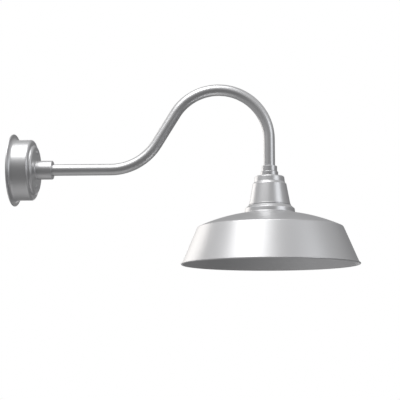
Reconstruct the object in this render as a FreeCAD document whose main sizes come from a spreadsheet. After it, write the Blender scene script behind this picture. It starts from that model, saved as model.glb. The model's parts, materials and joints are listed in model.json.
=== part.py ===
"""Gooseneck wall sconce: canopy, bent tube arm, cast neck, spun shade, lampholder and lamp.

Frame: the origin is on the wall, at the centre of the canopy's back, on the arm's level axis.
+X points out of the wall, +Z up. All sizes are millimetres and live in the sheet Sizes.
"""

import FreeCAD, Part

import math
import os

import Sketcher

# ---------------------------------------------------------------- driving dimensions

DIMENSIONS = [
    # wall side
    ("flange_radius", 73.6, "outer radius of the canopy's flange"),
    ("flange_depth", 2.6, "depth of the flange's rim from the wall"),
    ("flange_root", 6.0, "concave radius between flange and drum"),
    ("drum_radius", 61.9, "outer radius of the canopy's drum"),
    ("drum_end", 36.0, "end of the drum's straight side, from the wall"),
    ("drum_edge", 5.0, "rounding at the drum's front edge"),
    ("disc_foot", 50.8, "radius at the foot of the raised disc"),
    ("disc_round", 5.6, "quarter round of the raised disc, also its height"),
    ("canopy_wall", 1.6, "sheet of the canopy"),
    ("canopy_rim_edge", 1.2, "rounding of the flange's outer edge"),
    ("gasket_lap", 1.0, "wall gasket inside the drum's radius"),
    ("strap_length", 106.0, "mounting strap, upright"),
    ("strap_width", 20.0, "mounting strap"),
    ("strap_sheet", 2.0, "mounting strap"),
    ("box_spacing", 88.9, "slot centres, 3.5 inch wall box"),
    ("slot_width", 4.8, "slot in the strap"),
    ("slot_length", 9.6, "slot in the strap, end to end"),
    ("strap_corner", 4.0, "corner radius of the strap"),
    ("collar_height", 2.2, "tapped collars on the strap"),
    ("collar_wall", 1.7, "wall of the collars for the canopy screws"),
    ("earth_collar", 3.6, "radius of the collar for the earth screw"),
    ("canopy_spacing", 69.8, "canopy screws, 2.75 inch"),
    ("canopy_screw", 4.2, "shank diameter of the canopy screws"),
    ("canopy_head", 9.4, "head diameter of the canopy screws"),
    ("canopy_head_height", 2.4, "height of a canopy screw's head"),
    ("canopy_head_edge", 0.7, "height of that head's upright edge"),
    ("canopy_head_dome", 8.0, "radius of that head's dome"),
    ("cross_long", 2.2, "half length of the cross recess"),
    ("cross_short", 0.5, "half width of the cross recess"),
    ("cross_floor", 1.1, "floor of the cross recess above the head's seat"),
    ("earth_place", 18.0, "height of the earth screw above the arm's axis"),
    ("earth_screw", 2.0, "shank radius of the earth screw"),
    ("earth_flats", 7.0, "head of the earth screw, across flats"),
    ("earth_head", 3.0, "height of the earth screw's head"),
    ("terminal_sheet", 0.8, "ring terminal"),
    ("terminal_radius", 4.0, "ring terminal"),
    ("terminal_tongue", 9.0, "length of the ring terminal's tongue"),
    ("terminal_half", 1.6, "half width of the tongue"),
    ("sleeve_wall", 0.9, "crimped sleeve of the ring terminal"),
    ("sleeve_length", 4.0, "crimped sleeve of the ring terminal"),
    ("earth_turn", 22.0, "where the earth lead turns to the front"),
    ("earth_reach", 11.0, "earth lead's run to the front"),
    ("earth_bend", 6.0, "bend of the earth lead"),
    ("cap_mouth", 6.2, "radius of a wire connector's mouth"),
    ("cap_tip", 4.4, "radius of a wire connector's end"),
    ("cap_length", 21.0, "length of a wire connector"),
    ("cap_collar", 4.0, "depth of its mouth, filled by the lead"),
    # fits and cuts
    ("loose_fit", 0.2, "round a screw or a spigot in its hole"),
    ("close_fit", 0.05, "round a lead in its hole"),
    ("tube_fit", 0.02, "round the tube in its collars"),
    ("overrun", 1.0, "how far a cut goes past the wall that it opens"),
    # hub
    ("hub_radius", 19.2, "collar on the canopy"),
    ("hub_end", 80.0, "front of the hub, from the wall"),
    ("hub_seat", 50.0, "the tube's end inside the hub, from the wall"),
    ("spigot_radius", 13.0, "threaded spigot of hub and coupling"),
    ("spigot_bore", 10.3, "bore of hub and coupling past the tube"),
    ("hub_spigot", 12.6, "reach of the hub's spigot behind the canopy's front"),
    ("nut_flats", 32.0, "lock nuts, across flats"),
    ("nut_height", 5.0, "lock nuts"),
    ("thread_chamfer", 0.8, "both spigots' ends"),
    ("hub_chamfer", 1.3, "front edge of the hub"),
    ("hub_root", 1.6, "concave root of the hub"),
    ("hub_screw", 2.5, "radius of the hub's grub screw"),
    ("hub_screw_place", 68.0, "that screw from the wall"),
    ("hub_screw_face", 18.6, "its outer end from the arm's axis"),
    ("bushing_lip", 1.4, "lip of the lead bushing"),
    ("bushing_reach", 5.0, "lead bushing inside the spigot"),
    # arm
    ("tube_radius", 11.7, "3/4 inch conduit"),
    ("tube_wall", 1.25, "3/4 inch conduit"),
    ("level_end", 199.0, "end of the level run, from the wall"),
    ("up_radius", 108.4, "centreline radius of the upward bend"),
    ("climb_angle", 58.5, "climb above the level, degrees"),
    ("over_radius", 103.0, "centreline radius of the overhead bend"),
    ("reach", 520.0, "wall to the shade's axis"),
    # leads
    ("lead_radius", 1.4, "insulated lead"),
    ("lead_offset", 6.6, "each lead beside the arm's centre plane"),
    ("lead_bend", 7.5, "turn of each lead behind the hub"),
    ("lead_rise", 13.0, "length of each lead behind its turn"),
    ("connector_place", 9.0, "mouths of the wire connectors from the arm's axis"),
    # coupling, heights from the arm's level axis
    ("coupling_top", 4.0, "upper end of the coupling"),
    ("coupling_step", -7.4, "step between the coupling's two diameters"),
    ("coupling_foot", -15.5, "shoulder on the seal washer"),
    ("coupling_small", 15.6, "upper radius of the coupling"),
    ("coupling_large", 17.7, "lower radius of the coupling"),
    ("coupling_seat", 1.6, "tube's seat above the coupling's shoulder"),
    ("coupling_edge", 1.0, "rounded upper edges"),
    ("coupling_groove", 0.7, "hollow in the step"),
    ("coupling_thread", 1.4, "spigot past its lock nut"),
    ("coupling_screw", 2.0, "radius of the coupling's grub screw"),
    ("coupling_screw_place", -10.8, "height of that screw"),
    ("coupling_screw_face", 17.2, "its outer end from the axis"),
    ("washer_inset", 0.6, "seal washer inside the coupling's edge"),
    # neck
    ("neck_top", -17.0, "top of the neck"),
    ("neck_wall", 3.0, "casting"),
    ("neck_bottom", -91.4, "bottom of the neck"),
    ("cap_radius", 29.8, "neck's cap under its rounded edge"),
    ("cap_edge", 3.4, "rounding of the cap's edge"),
    ("shoulder_top", -27.5, "where the cap meets the shoulder"),
    ("shoulder_radius", 34.2, "neck under the shoulder"),
    ("shoulder_foot", -35.1, "where the shoulder meets the tapering side"),
    ("shoulder_round", 5.0, "both curves of the shoulder"),
    ("skirt_radius", 41.6, "neck above its bead"),
    ("bead_height", -74.6, "bead at the neck's lower end"),
    ("bead", 1.1, "half height of the bead"),
    ("foot_width", 1.8, "neck's bottom flange past its side"),
    ("foot_drop", 3.2, "neck's bottom flange under the band's edge"),
    ("foot_flat", 5.0, "width of the bottom flange"),
    ("lug_radius", 4.6, "lugs for the shade screws"),
    ("lug_height", 17.0, "lugs for the shade screws"),
    ("lug_thread", 12.0, "depth of the tapping in a lug"),
    ("boss_radius", 3.2, "bosses for the bracket screws"),
    ("boss_thread", 8.0, "depth of the tapping in a boss"),
    # band, shade
    ("band_top", -77.0, "upper edge of the fitter band"),
    ("band_radius", 50.5, "side of the fitter band"),
    ("crown_height", -92.4, "top face of the shade's flat crown"),
    ("crown_hole", 28.0, "radius of the hole in the crown"),
    ("crown_radius", 345.0, "radius of the shallow dome"),
    ("crown_apex", -88.66, "where the dome would reach the axis"),
    ("knee_radius", 5.0, "rounding between dome and skirt"),
    ("knee_wide", 145.6, "radius of the corner that the knee rounds"),
    ("knee_height", -120.95, "height of the corner that the knee rounds"),
    ("shade_wall", 1.2, "spun sheet"),
    ("shade_radius", 177.8, "14 inch shade, over its rolled rim"),
    ("shade_rim", -193.4, "centre of the rolled rim"),
    ("rim_roll", 1.6, "radius of the rolled rim"),
    ("shade_screw_circle", 34.0, "radius of the three shade screws"),
    ("shade_screw", 2.0, "shank radius of the shade screws"),
    ("shade_screw_hole", 2.3, "their holes in shade and gasket"),
    ("shade_screw_reach", 9.0, "their thread in the neck"),
    # lampholder
    ("bracket_height", -30.0, "upper face of the bracket"),
    ("bracket_sheet", 1.5, "bracket"),
    ("bracket_screws", 21.5, "bracket screws from the axis"),
    ("holder_screws", 10.0, "lampholder screws from the axis"),
    ("holder_radius", 20.5, "porcelain body"),
    ("holder_bottom", -78.0, "mouth of the lampholder"),
    ("holder_floor", -44.0, "inner end of its cavity"),
    ("shell_radius", 13.3, "screw shell's crests, inside"),
    ("bracket_screw", 1.75, "shank radius of the bracket screws"),
    ("bracket_half", 5.0, "half width of the bracket"),
    ("bracket_corner", 3.0, "corner radius of the bracket"),
    ("bracket_end", 4.2, "bracket past its screws"),
    ("holder_screw", 1.5, "shank radius of the lampholder screws"),
    ("holder_cavity", 15.2, "radius of the porcelain's cavity"),
    ("holder_edge", 0.8, "small edges of the porcelain"),
    ("shell_top", -50.0, "flange of the screw shell"),
    ("shell_bottom", -76.0, "mouth of the screw shell"),
    ("shell_sheet", 0.4, "screw shell"),
    ("shell_hole", 9.0, "radius of the hole in its flange"),
    ("contact_sheet", 0.6, "centre contact"),
    ("contact_width", 6.0, "centre contact"),
    ("thread_pitch", 3.63, "E26 thread"),
    # lamp
    ("lamp_top", -48.0, "tip of the lamp's contact"),
    ("cap_crest", 13.1, "lamp cap's crests"),
    ("cap_thread", 0.9, "depth of the cap's thread"),
    ("cap_bore", 11.7, "radius inside the cap"),
    ("cap_foot", 27.0, "lower edge of the cap, from the tip"),
    ("insulator_radius", 12.0, "glass at the cap's end"),
    ("insulator_top", 2.2, "its upper face, from the tip"),
    ("insulator_foot", 6.2, "its lower face, from the tip"),
    ("globe_seat", 15.0, "housing's edge above the globe's centre"),
    ("globe_wall", 1.4, "globe"),
    ("board_radius", 20.0, "LED board"),
    ("board_sheet", 1.5, "LED board"),
    ("led_circle", 14.0, "ring of LEDs"),
    ("led_side", 2.8, "one LED"),
    ("led_height", 0.8, "one LED"),
    ("led_count", 10, "number of LEDs"),
    ("globe_radius", 30.0, "A60 globe"),
    ("globe_centre", -127.0, "centre of the globe"),
]


class Size:
    """A length that knows its value and the sheet expression that gives it."""

    def __init__(self, value, text):
        self.value = float(value)
        self.text = text

    @staticmethod
    def of(other):
        return other if isinstance(other, Size) else Size(other, repr(float(other)))

    def _join(self, other, value, sign):
        return Size(value, f"({self.text} {sign} {other.text})")

    def __add__(self, other):
        other = Size.of(other)
        return self._join(other, self.value + other.value, "+")

    def __sub__(self, other):
        other = Size.of(other)
        return self._join(other, self.value - other.value, "-")

    def __mul__(self, other):
        other = Size.of(other)
        return self._join(other, self.value * other.value, "*")

    def __truediv__(self, other):
        other = Size.of(other)
        return self._join(other, self.value / other.value, "/")

    def __radd__(self, other):
        return Size.of(other) + self

    def __rsub__(self, other):
        return Size.of(other) - self

    def __rmul__(self, other):
        return Size.of(other) * self

    def __neg__(self):
        return Size(-self.value, f"(-{self.text})")


class Sizes:
    """The sheet's aliases as attributes."""

    def __init__(self, doc):
        sheet = doc.addObject("Spreadsheet::Sheet", "Sizes")
        for row, (alias, value, note) in enumerate(DIMENSIONS, start=1):
            sheet.set(f"A{row}", note)
            sheet.set(f"B{row}", str(value))
            sheet.setAlias(f"B{row}", alias)
            setattr(self, alias, Size(value, f"Sizes.{alias}"))


def bind(thing, name, size):
    """Tie a property to the sheet."""
    size = Size.of(size)
    if name != "Placement.Base.x":
        setattr(thing, name, size.value)
    thing.setExpression(name, size.text)


# ---------------------------------------------------------------- sketches and features

DOC = FreeCAD.newDocument("GooseneckSconce")
S = Sizes(DOC)
ON_DROP = "drop"
ON_WALL = "wall"


def new_body(label, place=ON_WALL):
    """A body at the wall, or on the shade's axis."""
    body = DOC.addObject("PartDesign::Body", label)
    body.Label = label
    if hasattr(body, "AllowCompound"):
        body.AllowCompound = True
    if place == ON_DROP:
        body.Placement = FreeCAD.Placement(FreeCAD.Vector(S.reach.value, 0, 0), FreeCAD.Rotation())
        bind(body, "Placement.Base.x", S.reach)
    return body


def new_sketch(body, name, plane="XZ_Plane", lift=0):
    """A sketch on one of the body's own planes, lifted along its normal."""
    sketch = body.newObject("Sketcher::SketchObject", name)
    origin = [f for f in body.Origin.OriginFeatures if f.Role == plane][0]
    sketch.AttachmentSupport = [(origin, "")]
    sketch.MapMode = "FlatFace"
    lift = Size.of(lift)
    if lift.value:
        sketch.AttachmentOffset = FreeCAD.Placement(
            FreeCAD.Vector(0, 0, lift.value), FreeCAD.Rotation()
        )
        sketch.setExpression("AttachmentOffset.Base.z", lift.text)
    return sketch


def fix_point(sketch, geometry, point, x, y):
    """Hold a point of the sketch at two lengths of the sheet."""
    for kind, size in (("DistanceX", x), ("DistanceY", y)):
        size = Size.of(size)
        index = sketch.addConstraint(
            Sketcher.Constraint(kind, -1, 1, geometry, point, size.value)
        )
        sketch.setExpression(f"Constraints[{index}]", size.text)


def outline(sketch, corners):
    """Close a loop through corners (x, y) or (x, y, radius).

    The radius belongs to the edge that leaves the corner: above zero it turns to the left,
    below zero to the right, and without one the edge is straight.
    """
    spots = [(Size.of(c[0]), Size.of(c[1])) for c in corners]
    edges = []
    for index, corner in enumerate(corners):
        start = spots[index]
        end = spots[(index + 1) % len(corners)]
        a = FreeCAD.Vector(start[0].value, start[1].value, 0)
        b = FreeCAD.Vector(end[0].value, end[1].value, 0)
        if len(corner) == 2:
            edge = sketch.addGeometry(Part.LineSegment(a, b), False)
            edges.append((edge, 1, 2))
        else:
            radius = Size.of(corner[2])
            left = radius.value > 0
            edge = sketch.addGeometry(minor_arc(a, b, abs(radius.value), left), False)
            edges.append((edge, 1, 2) if left else (edge, 2, 1))
            limit = sketch.addConstraint(Sketcher.Constraint("Radius", edge, abs(radius.value)))
            text = radius.text if left else f"(-{radius.text})"
            sketch.setExpression(f"Constraints[{limit}]", text)
    for (edge, head, _), (last, _, tail), spot in zip(edges, edges[-1:] + edges[:-1], spots):
        sketch.addConstraint(Sketcher.Constraint("Coincident", last, tail, edge, head))
        fix_point(sketch, edge, head, *spot)
    return sketch


def minor_arc(a, b, radius, left):
    """The arc of under half a turn from a to b, with its centre on the left or the right."""
    chord = b - a
    height = math.sqrt(max(radius**2 - (chord.Length / 2) ** 2, 0.0))
    aside = FreeCAD.Vector(-chord.y, chord.x, 0).normalize()
    centre = (a + b) * 0.5 + aside * (height if left else -height)
    first, last = (a, b) if left else (b, a)
    angles = [math.atan2(p.y - centre.y, p.x - centre.x) for p in (first, last)]
    return Part.ArcOfCircle(Part.Circle(centre, FreeCAD.Vector(0, 0, 1), radius), *angles)


def ring(sketch, radius, x=0, y=0):
    """Add a circle to a sketch."""
    radius = Size.of(radius)
    x = Size.of(x)
    y = Size.of(y)
    circle = Part.Circle(
        FreeCAD.Vector(x.value, y.value, 0), FreeCAD.Vector(0, 0, 1), radius.value
    )
    edge = sketch.addGeometry(circle, False)
    fix_point(sketch, edge, 3, x, y)
    index = sketch.addConstraint(Sketcher.Constraint("Radius", edge, radius.value))
    sketch.setExpression(f"Constraints[{index}]", radius.text)
    return sketch


def turn(body, corners, axis="V_Axis", name="turned"):
    """Revolve an outline about the body's upright or level axis."""
    sketch = outline(new_sketch(body, f"{body.Name}_{name}_outline"), corners)
    feature = body.newObject("PartDesign::Revolution", f"{body.Name}_{name}")
    feature.Profile = sketch
    feature.ReferenceAxis = (sketch, [axis])
    feature.Angle = 360.0
    body.Tip = feature
    DOC.recompute()
    return feature


def pad(body, sketch, length, backwards=False):
    """Grow a sketch into the body."""
    feature = body.newObject("PartDesign::Pad", f"{sketch.Name}_pad")
    feature.Profile = sketch
    feature.Reversed = backwards
    bind(feature, "Length", length)
    body.Tip = feature
    DOC.recompute()
    return feature


def cut(body, sketch, length, backwards=False):
    """Cut a sketch out of the body, and make sure that it took something."""
    before = body.Shape.Volume
    feature = body.newObject("PartDesign::Pocket", f"{sketch.Name}_pocket")
    feature.Profile = sketch
    feature.Reversed = backwards
    bind(feature, "Length", length)
    body.Tip = feature
    DOC.recompute()
    if body.Shape.Volume > before - 1e-3:
        raise RuntimeError(f"{sketch.Name} cuts nothing")
    return feature


def around(body, feature, count, axis="Z_Axis"):
    """Repeat a feature round one of the body's axes."""
    pattern = body.newObject("PartDesign::PolarPattern", f"{feature.Name}_pattern")
    pattern.Originals = [feature]
    line = [f for f in body.Origin.OriginFeatures if f.Role == axis][0]
    pattern.Axis = (line, [""])
    pattern.Angle = 360.0
    pattern.Occurrences = count
    body.Tip = pattern
    DOC.recompute()
    return pattern


def hexagon(sketch, flats, turned=0.0, x=0, y=0):
    """Add a hexagon to a sketch, corners at turned degrees."""
    corner = Size.of(flats) / math.sqrt(3.0)
    x = Size.of(x)
    y = Size.of(y)
    points = []
    for step in range(6):
        angle = math.radians(turned + 60.0 * step)
        points.append((x + corner * math.cos(angle), y + corner * math.sin(angle)))
    return outline(sketch, points)


def copies(label, base, places, place=ON_WALL):
    """One part of several separate solids: a built body repeated at several places."""
    source = base.Shape.copy()
    solids = []
    for spot in places:
        solid = source.copy()
        solid.Placement = spot.multiply(solid.Placement)
        solids.append(solid)
    part = DOC.addObject("Part::Feature", label)
    part.Label = label
    part.Shape = Part.makeCompound(solids)
    if place == ON_DROP:
        part.Placement = FreeCAD.Placement(FreeCAD.Vector(S.reach.value, 0, 0), FreeCAD.Rotation())
    return part


def move(x=0.0, y=0.0, z=0.0, axis=(0, 0, 1), angle=0.0):
    """A placement."""
    return FreeCAD.Placement(
        FreeCAD.Vector(x, y, z), FreeCAD.Rotation(FreeCAD.Vector(*axis), angle)
    )


# ---------------------------------------------------------------- wall side

CANOPY_FRONT = S.drum_end + S.drum_edge + S.disc_round
CANOPY_BACK_OF_FRONT = CANOPY_FRONT - S.canopy_wall


def make_canopy():
    """Pressed shell: flange, concave root, drum, rounded edge and raised disc."""
    body = new_body("canopy_shell")
    wall = S.canopy_wall
    ledge = S.drum_end + S.drum_edge
    root_end = S.flange_depth + S.flange_root
    rim_edge = S.canopy_rim_edge
    disc_flat = S.disc_foot - S.disc_round
    inner_root = S.flange_root + wall
    turn(
        body,
        [
            (0, S.flange_radius),
            (S.flange_depth - rim_edge, S.flange_radius, -rim_edge),
            (S.flange_depth, S.flange_radius - rim_edge),
            (S.flange_depth, S.drum_radius + S.flange_root, S.flange_root),
            (root_end, S.drum_radius),
            (S.drum_end, S.drum_radius, -S.drum_edge),
            (ledge, S.drum_radius - S.drum_edge),
            (ledge, S.disc_foot, -S.disc_round),
            (CANOPY_FRONT, disc_flat),
            (CANOPY_FRONT, S.spigot_radius + S.loose_fit),
            (CANOPY_BACK_OF_FRONT, S.spigot_radius + S.loose_fit),
            (CANOPY_BACK_OF_FRONT, disc_flat, S.disc_round - wall),
            (ledge, S.disc_foot - wall),
            (ledge - wall, S.disc_foot - wall),
            (ledge - wall, S.drum_radius - S.drum_edge, S.drum_edge - wall),
            (S.drum_end, S.drum_radius - wall),
            (root_end, S.drum_radius - wall, -inner_root),
            (S.flange_depth - wall, S.drum_radius + S.flange_root),
            (S.flange_depth - wall, S.flange_radius - wall),
            (0, S.flange_radius - wall),
        ],
        axis="H_Axis",
    )
    for sign, name in ((1, "upper"), (-1, "lower")):
        hole = new_sketch(body, f"canopy_{name}_hole", "YZ_Plane", CANOPY_FRONT)
        ring(hole, S.canopy_screw / 2 + S.loose_fit, 0, S.canopy_spacing / 2 * sign)
        cut(body, hole, S.canopy_wall + S.overrun)
    return body


def make_wall_gasket():
    """Foam ring in the flange's back, flush with the wall."""
    body = new_body("wall_gasket")
    inner = S.drum_radius - S.gasket_lap
    outer = S.flange_radius - S.canopy_wall - S.loose_fit
    depth = S.flange_depth - S.canopy_wall
    turn(body, [(0, inner), (depth, inner), (depth, outer), (0, outer)], axis="H_Axis")
    return body


def make_strap():
    """Flat steel strap: a slot at each end, two tapped collars and the earth screw's hole."""
    body = new_body("mounting_strap")
    half_l = S.strap_length / 2
    half_w = S.strap_width / 2
    end = S.strap_corner
    plate = new_sketch(body, "strap_plate", "YZ_Plane")
    outline(
        plate,
        [
            (half_w, -half_l + end),
            (half_w, half_l - end, end),
            (half_w - end, half_l),
            (end - half_w, half_l, end),
            (-half_w, half_l - end),
            (-half_w, -half_l + end, end),
            (end - half_w, -half_l),
            (half_w - end, -half_l, end),
        ],
    )
    pad(body, plate, S.strap_sheet)
    collars = new_sketch(body, "strap_collars", "YZ_Plane", S.strap_sheet)
    for sign in (1, -1):
        ring(collars, S.canopy_screw / 2 + S.collar_wall, 0, S.canopy_spacing / 2 * sign)
    ring(collars, S.earth_collar, 0, S.earth_place)
    pad(body, collars, S.collar_height)
    holes = new_sketch(body, "strap_holes", "YZ_Plane", S.strap_sheet + S.collar_height)
    for sign in (1, -1):
        ring(holes, S.canopy_screw / 2, 0, S.canopy_spacing / 2 * sign)
    ring(holes, S.earth_screw, 0, S.earth_place)
    cut(body, holes, S.strap_sheet + S.collar_height + S.overrun)
    straight = (S.slot_length - S.slot_width) / 2
    half = S.slot_width / 2
    for sign, name in ((1, "upper"), (-1, "lower")):
        centre = S.box_spacing / 2 * sign
        slot = new_sketch(body, f"strap_{name}_slot", "YZ_Plane", S.strap_sheet)
        outline(
            slot,
            [
                (half, centre - straight),
                (half, centre + straight, half + 1e-6),
                (-half, centre + straight),
                (-half, centre - straight, half + 1e-6),
            ],
        )
        cut(body, slot, S.strap_sheet + S.overrun)
    return body


def make_canopy_screws():
    """Two truss-head screws, in the front of the canopy and the strap's collars."""
    body = new_body("canopy_screw_base")
    head = S.canopy_head / 2
    shank = S.canopy_screw / 2
    start = Size(0.6, "0.6")
    chamfer = 0.4
    turn(
        body,
        [
            (start, 0),
            (start, shank - chamfer),
            (start + chamfer, shank),
            (CANOPY_FRONT, shank),
            (CANOPY_FRONT, head),
            (CANOPY_FRONT + S.canopy_head_edge, head, S.canopy_head_dome),
            (CANOPY_FRONT + S.canopy_head_height, 0),
        ],
        axis="H_Axis",
    )
    crown = CANOPY_FRONT + S.canopy_head_height + S.loose_fit
    slot = new_sketch(body, "canopy_screw_cross", "YZ_Plane", crown)
    long, short = S.cross_long, S.cross_short
    outline(
        slot,
        [
            (long, -short), (long, short), (short, short), (short, long), (-short, long),
            (-short, short), (-long, short), (-long, -short), (-short, -short),
            (-short, -long), (short, -long), (short, -short),
        ],
    )
    cut(body, slot, S.canopy_head_height + S.loose_fit - S.cross_floor)
    half = S.canopy_spacing.value / 2
    return copies("canopy_screws", body, [move(z=half), move(z=-half)])


def make_earthing():
    """Earth screw in the strap, the ring terminal under it and the short earth lead."""
    seat = (S.strap_sheet + S.collar_height).value
    ring_sheet = S.terminal_sheet.value
    place = S.earth_place.value
    screw = new_body("earth_screw")
    head_foot = seat + ring_sheet
    shank = new_sketch(screw, "earth_screw_shank", "YZ_Plane", 0.4)
    ring(shank, S.earth_screw, 0, S.earth_place)
    pad(screw, shank, head_foot - 0.4)
    top = new_sketch(screw, "earth_screw_head", "YZ_Plane", head_foot)
    hexagon(top, S.earth_flats, 0.0, 0, S.earth_place)
    pad(screw, top, S.earth_head)
    slot = new_sketch(screw, "earth_screw_slot", "YZ_Plane", head_foot + S.earth_head)
    outline(
        slot,
        [
            (5, S.earth_place - 0.5), (5, S.earth_place + 0.5),
            (-5, S.earth_place + 0.5), (-5, S.earth_place - 0.5),
        ],
    )
    cut(screw, slot, 1.2)

    terminal = new_body("earth_ring_terminal")
    eye = new_sketch(terminal, "terminal_eye", "YZ_Plane", seat)
    ring(eye, S.terminal_radius, 0, S.earth_place)
    pad(terminal, eye, ring_sheet)
    tongue = new_sketch(terminal, "terminal_tongue", "YZ_Plane", seat)
    half = S.terminal_half
    outline(
        tongue,
        [
            (0, S.earth_place - half), (S.terminal_tongue, S.earth_place - half),
            (S.terminal_tongue, S.earth_place + half), (0, S.earth_place + half),
        ],
    )
    pad(terminal, tongue, ring_sheet)
    eye_hole = new_sketch(terminal, "terminal_hole", "YZ_Plane", seat + ring_sheet)
    ring(eye_hole, S.earth_screw + S.close_fit, 0, S.earth_place)
    cut(terminal, eye_hole, ring_sheet + S.overrun)
    sleeve = new_sketch(terminal, "terminal_sleeve", "XZ_Plane", -S.terminal_tongue)
    axis_x = seat + ring_sheet + S.lead_radius.value
    ring(sleeve, S.lead_radius + S.sleeve_wall, axis_x, S.earth_place)
    pad(terminal, sleeve, S.sleeve_length, backwards=True)
    far = -S.terminal_tongue - S.sleeve_length
    sleeve_hole = new_sketch(terminal, "terminal_sleeve_hole", "XZ_Plane", far)
    ring(sleeve_hole, S.lead_radius, axis_x, S.earth_place)
    cut(terminal, sleeve_hole, S.sleeve_length - 0.4, backwards=True)

    start = S.terminal_tongue.value + 0.5
    turn_y = S.earth_turn.value
    path = tube_path(
        [
            FreeCAD.Vector(axis_x, start, place),
            FreeCAD.Vector(axis_x, turn_y, place),
            FreeCAD.Vector(axis_x + S.earth_reach.value, turn_y, place),
        ],
        [S.earth_bend.value],
    )
    lead = tube_along("earth_lead", path, S.lead_radius.value)
    return screw, terminal, lead


def make_wire_connectors():
    """Three twist-on caps, on the ends of the three leads."""
    body = new_body("wire_connector_base")
    mouth, tip, length, collar = S.cap_mouth, S.cap_tip, S.cap_length, S.cap_collar
    edge = 1.2
    lead = S.lead_radius + S.close_fit
    turn(
        body,
        [
            (0, lead), (collar, lead), (collar, 0), (length, 0),
            (length, tip - edge), (length - edge, tip), (collar + 1.0, mouth - 0.9),
            (collar, mouth), (0, mouth),
        ],
        axis="H_Axis",
    )
    return body


# ---------------------------------------------------------------- tubes and leads


def tube_path(points, radii):
    """A wire of straight runs joined by tangent arcs, one radius for each inner point."""
    edges = []
    here = points[0]
    for before, corner, after, radius in zip(points, points[1:], points[2:], radii):
        back = (before - corner).normalize()
        ahead = (after - corner).normalize()
        half = math.acos(max(-1.0, min(1.0, -(back * ahead)))) / 2
        reach = radius * math.tan(half)
        start = corner + back * reach
        end = corner + ahead * reach
        middle_line = (back + ahead).normalize()
        centre = corner + middle_line * (radius / math.cos(half))
        middle = centre - middle_line * radius
        edges.append(Part.LineSegment(here, start).toShape())
        edges.append(Part.Arc(start, middle, end).toShape())
        here = end
    edges.append(Part.LineSegment(here, points[-1]).toShape())
    return Part.Wire(edges)


def tube_along(label, path, radius, bore=0.0):
    """Sweep a round section along a path, with a bore if it has one."""
    start = path.Edges[0].Vertexes[0].Point
    along = path.Edges[0].tangentAt(path.Edges[0].FirstParameter)

    def swept(size):
        section = Part.Wire([Part.Circle(start, along, size).toShape()])
        return path.makePipeShell([section], True, False)

    solid = swept(radius)
    if bore:
        solid = solid.cut(swept(bore))
    expected = math.pi * (radius**2 - bore**2) * path.Length
    if abs(solid.Volume - expected) > 0.01 * expected:
        raise RuntimeError(f"{label}: volume {solid.Volume:.0f}, expected {expected:.0f}")
    part = DOC.addObject("Part::Feature", label)
    part.Label = label
    part.Shape = solid
    return part


def arm_corners(start_x, end_z, offset=0.0):
    """Corner points of the arm's centreline and its bend radii, beside the arm's own plane."""
    climb = math.radians(S.climb_angle.value)
    up = S.up_radius.value
    foot_x = S.level_end.value + up * math.tan(climb / 2)
    top_z = (S.reach.value - foot_x) * math.tan(climb)
    corners = [
        FreeCAD.Vector(start_x, offset, 0),
        FreeCAD.Vector(foot_x, offset, 0),
        FreeCAD.Vector(S.reach.value, offset, top_z),
        FreeCAD.Vector(S.reach.value, offset, end_z),
    ]
    return corners, [up, S.over_radius.value]


def make_arm():
    """Bent conduit, from its seat in the hub to its seat in the coupling."""
    seat = (S.coupling_foot + S.coupling_seat).value
    points, radii = arm_corners(S.hub_seat.value, seat)
    path = tube_path(points, radii)
    tube = S.tube_radius.value
    return tube_along("gooseneck_arm", path, tube, tube - S.tube_wall.value)


def make_leads():
    """Live and neutral leads: a turn behind the hub, then whole through the arm."""
    made = []
    end = S.bracket_height.value - 8.0
    turn_x = CANOPY_BACK_OF_FRONT.value - S.hub_spigot.value - 4.0 - S.lead_bend.value
    for label, side in (("live_lead", 1), ("neutral_lead", -1)):
        offset = -side * S.lead_offset.value
        points, radii = arm_corners(turn_x, end, offset)
        rise = FreeCAD.Vector(turn_x, offset, side * S.lead_rise.value)
        path = tube_path([rise] + points, [S.lead_bend.value] + radii)
        made.append(tube_along(label, path, S.lead_radius.value))
    return made, turn_x


# ---------------------------------------------------------------- hub


def make_hub():
    """Turned collar with a shoulder for the tube and a threaded spigot through the canopy."""
    body = new_body("canopy_hub")
    chamfer = S.hub_chamfer
    root = S.hub_root
    spigot_end = CANOPY_BACK_OF_FRONT - S.hub_spigot
    turn(
        body,
        [
            (spigot_end, S.spigot_bore),
            (S.hub_seat, S.spigot_bore),
            (S.hub_seat, S.tube_radius + S.tube_fit),
            (S.hub_end, S.tube_radius + S.tube_fit),
            (S.hub_end, S.hub_radius - chamfer),
            (S.hub_end - chamfer, S.hub_radius),
            (CANOPY_FRONT + root, S.hub_radius, -root),
            (CANOPY_FRONT, S.hub_radius + root),
            (CANOPY_FRONT, S.spigot_radius),
            (spigot_end + S.thread_chamfer, S.spigot_radius),
            (spigot_end, S.spigot_radius - S.thread_chamfer),
        ],
        axis="H_Axis",
    )
    hole = new_sketch(body, "hub_screw_hole", "XZ_Plane", -(S.hub_radius + S.overrun))
    ring(hole, S.hub_screw, S.hub_screw_place, 0)
    cut(body, hole, 9.0, backwards=True)
    return body


def grub_screw(label, radius, outer, place, x, z):
    """Socket grub screw, flush in its collar, on the side away from the room."""
    body = new_body(label, place)
    shank = new_sketch(body, f"{label}_shank", "XZ_Plane", -outer)
    ring(shank, radius, x, z)
    pad(body, shank, outer - S.tube_radius)
    if body.Shape.BoundBox.YMin < S.tube_radius.value - 0.01:
        raise RuntimeError(f"{label} points the wrong way")
    socket = new_sketch(body, f"{label}_socket", "XZ_Plane", -outer)
    hexagon(socket, radius, 0.0, x, z)
    cut(body, socket, 2.0, backwards=True)
    return body


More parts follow.
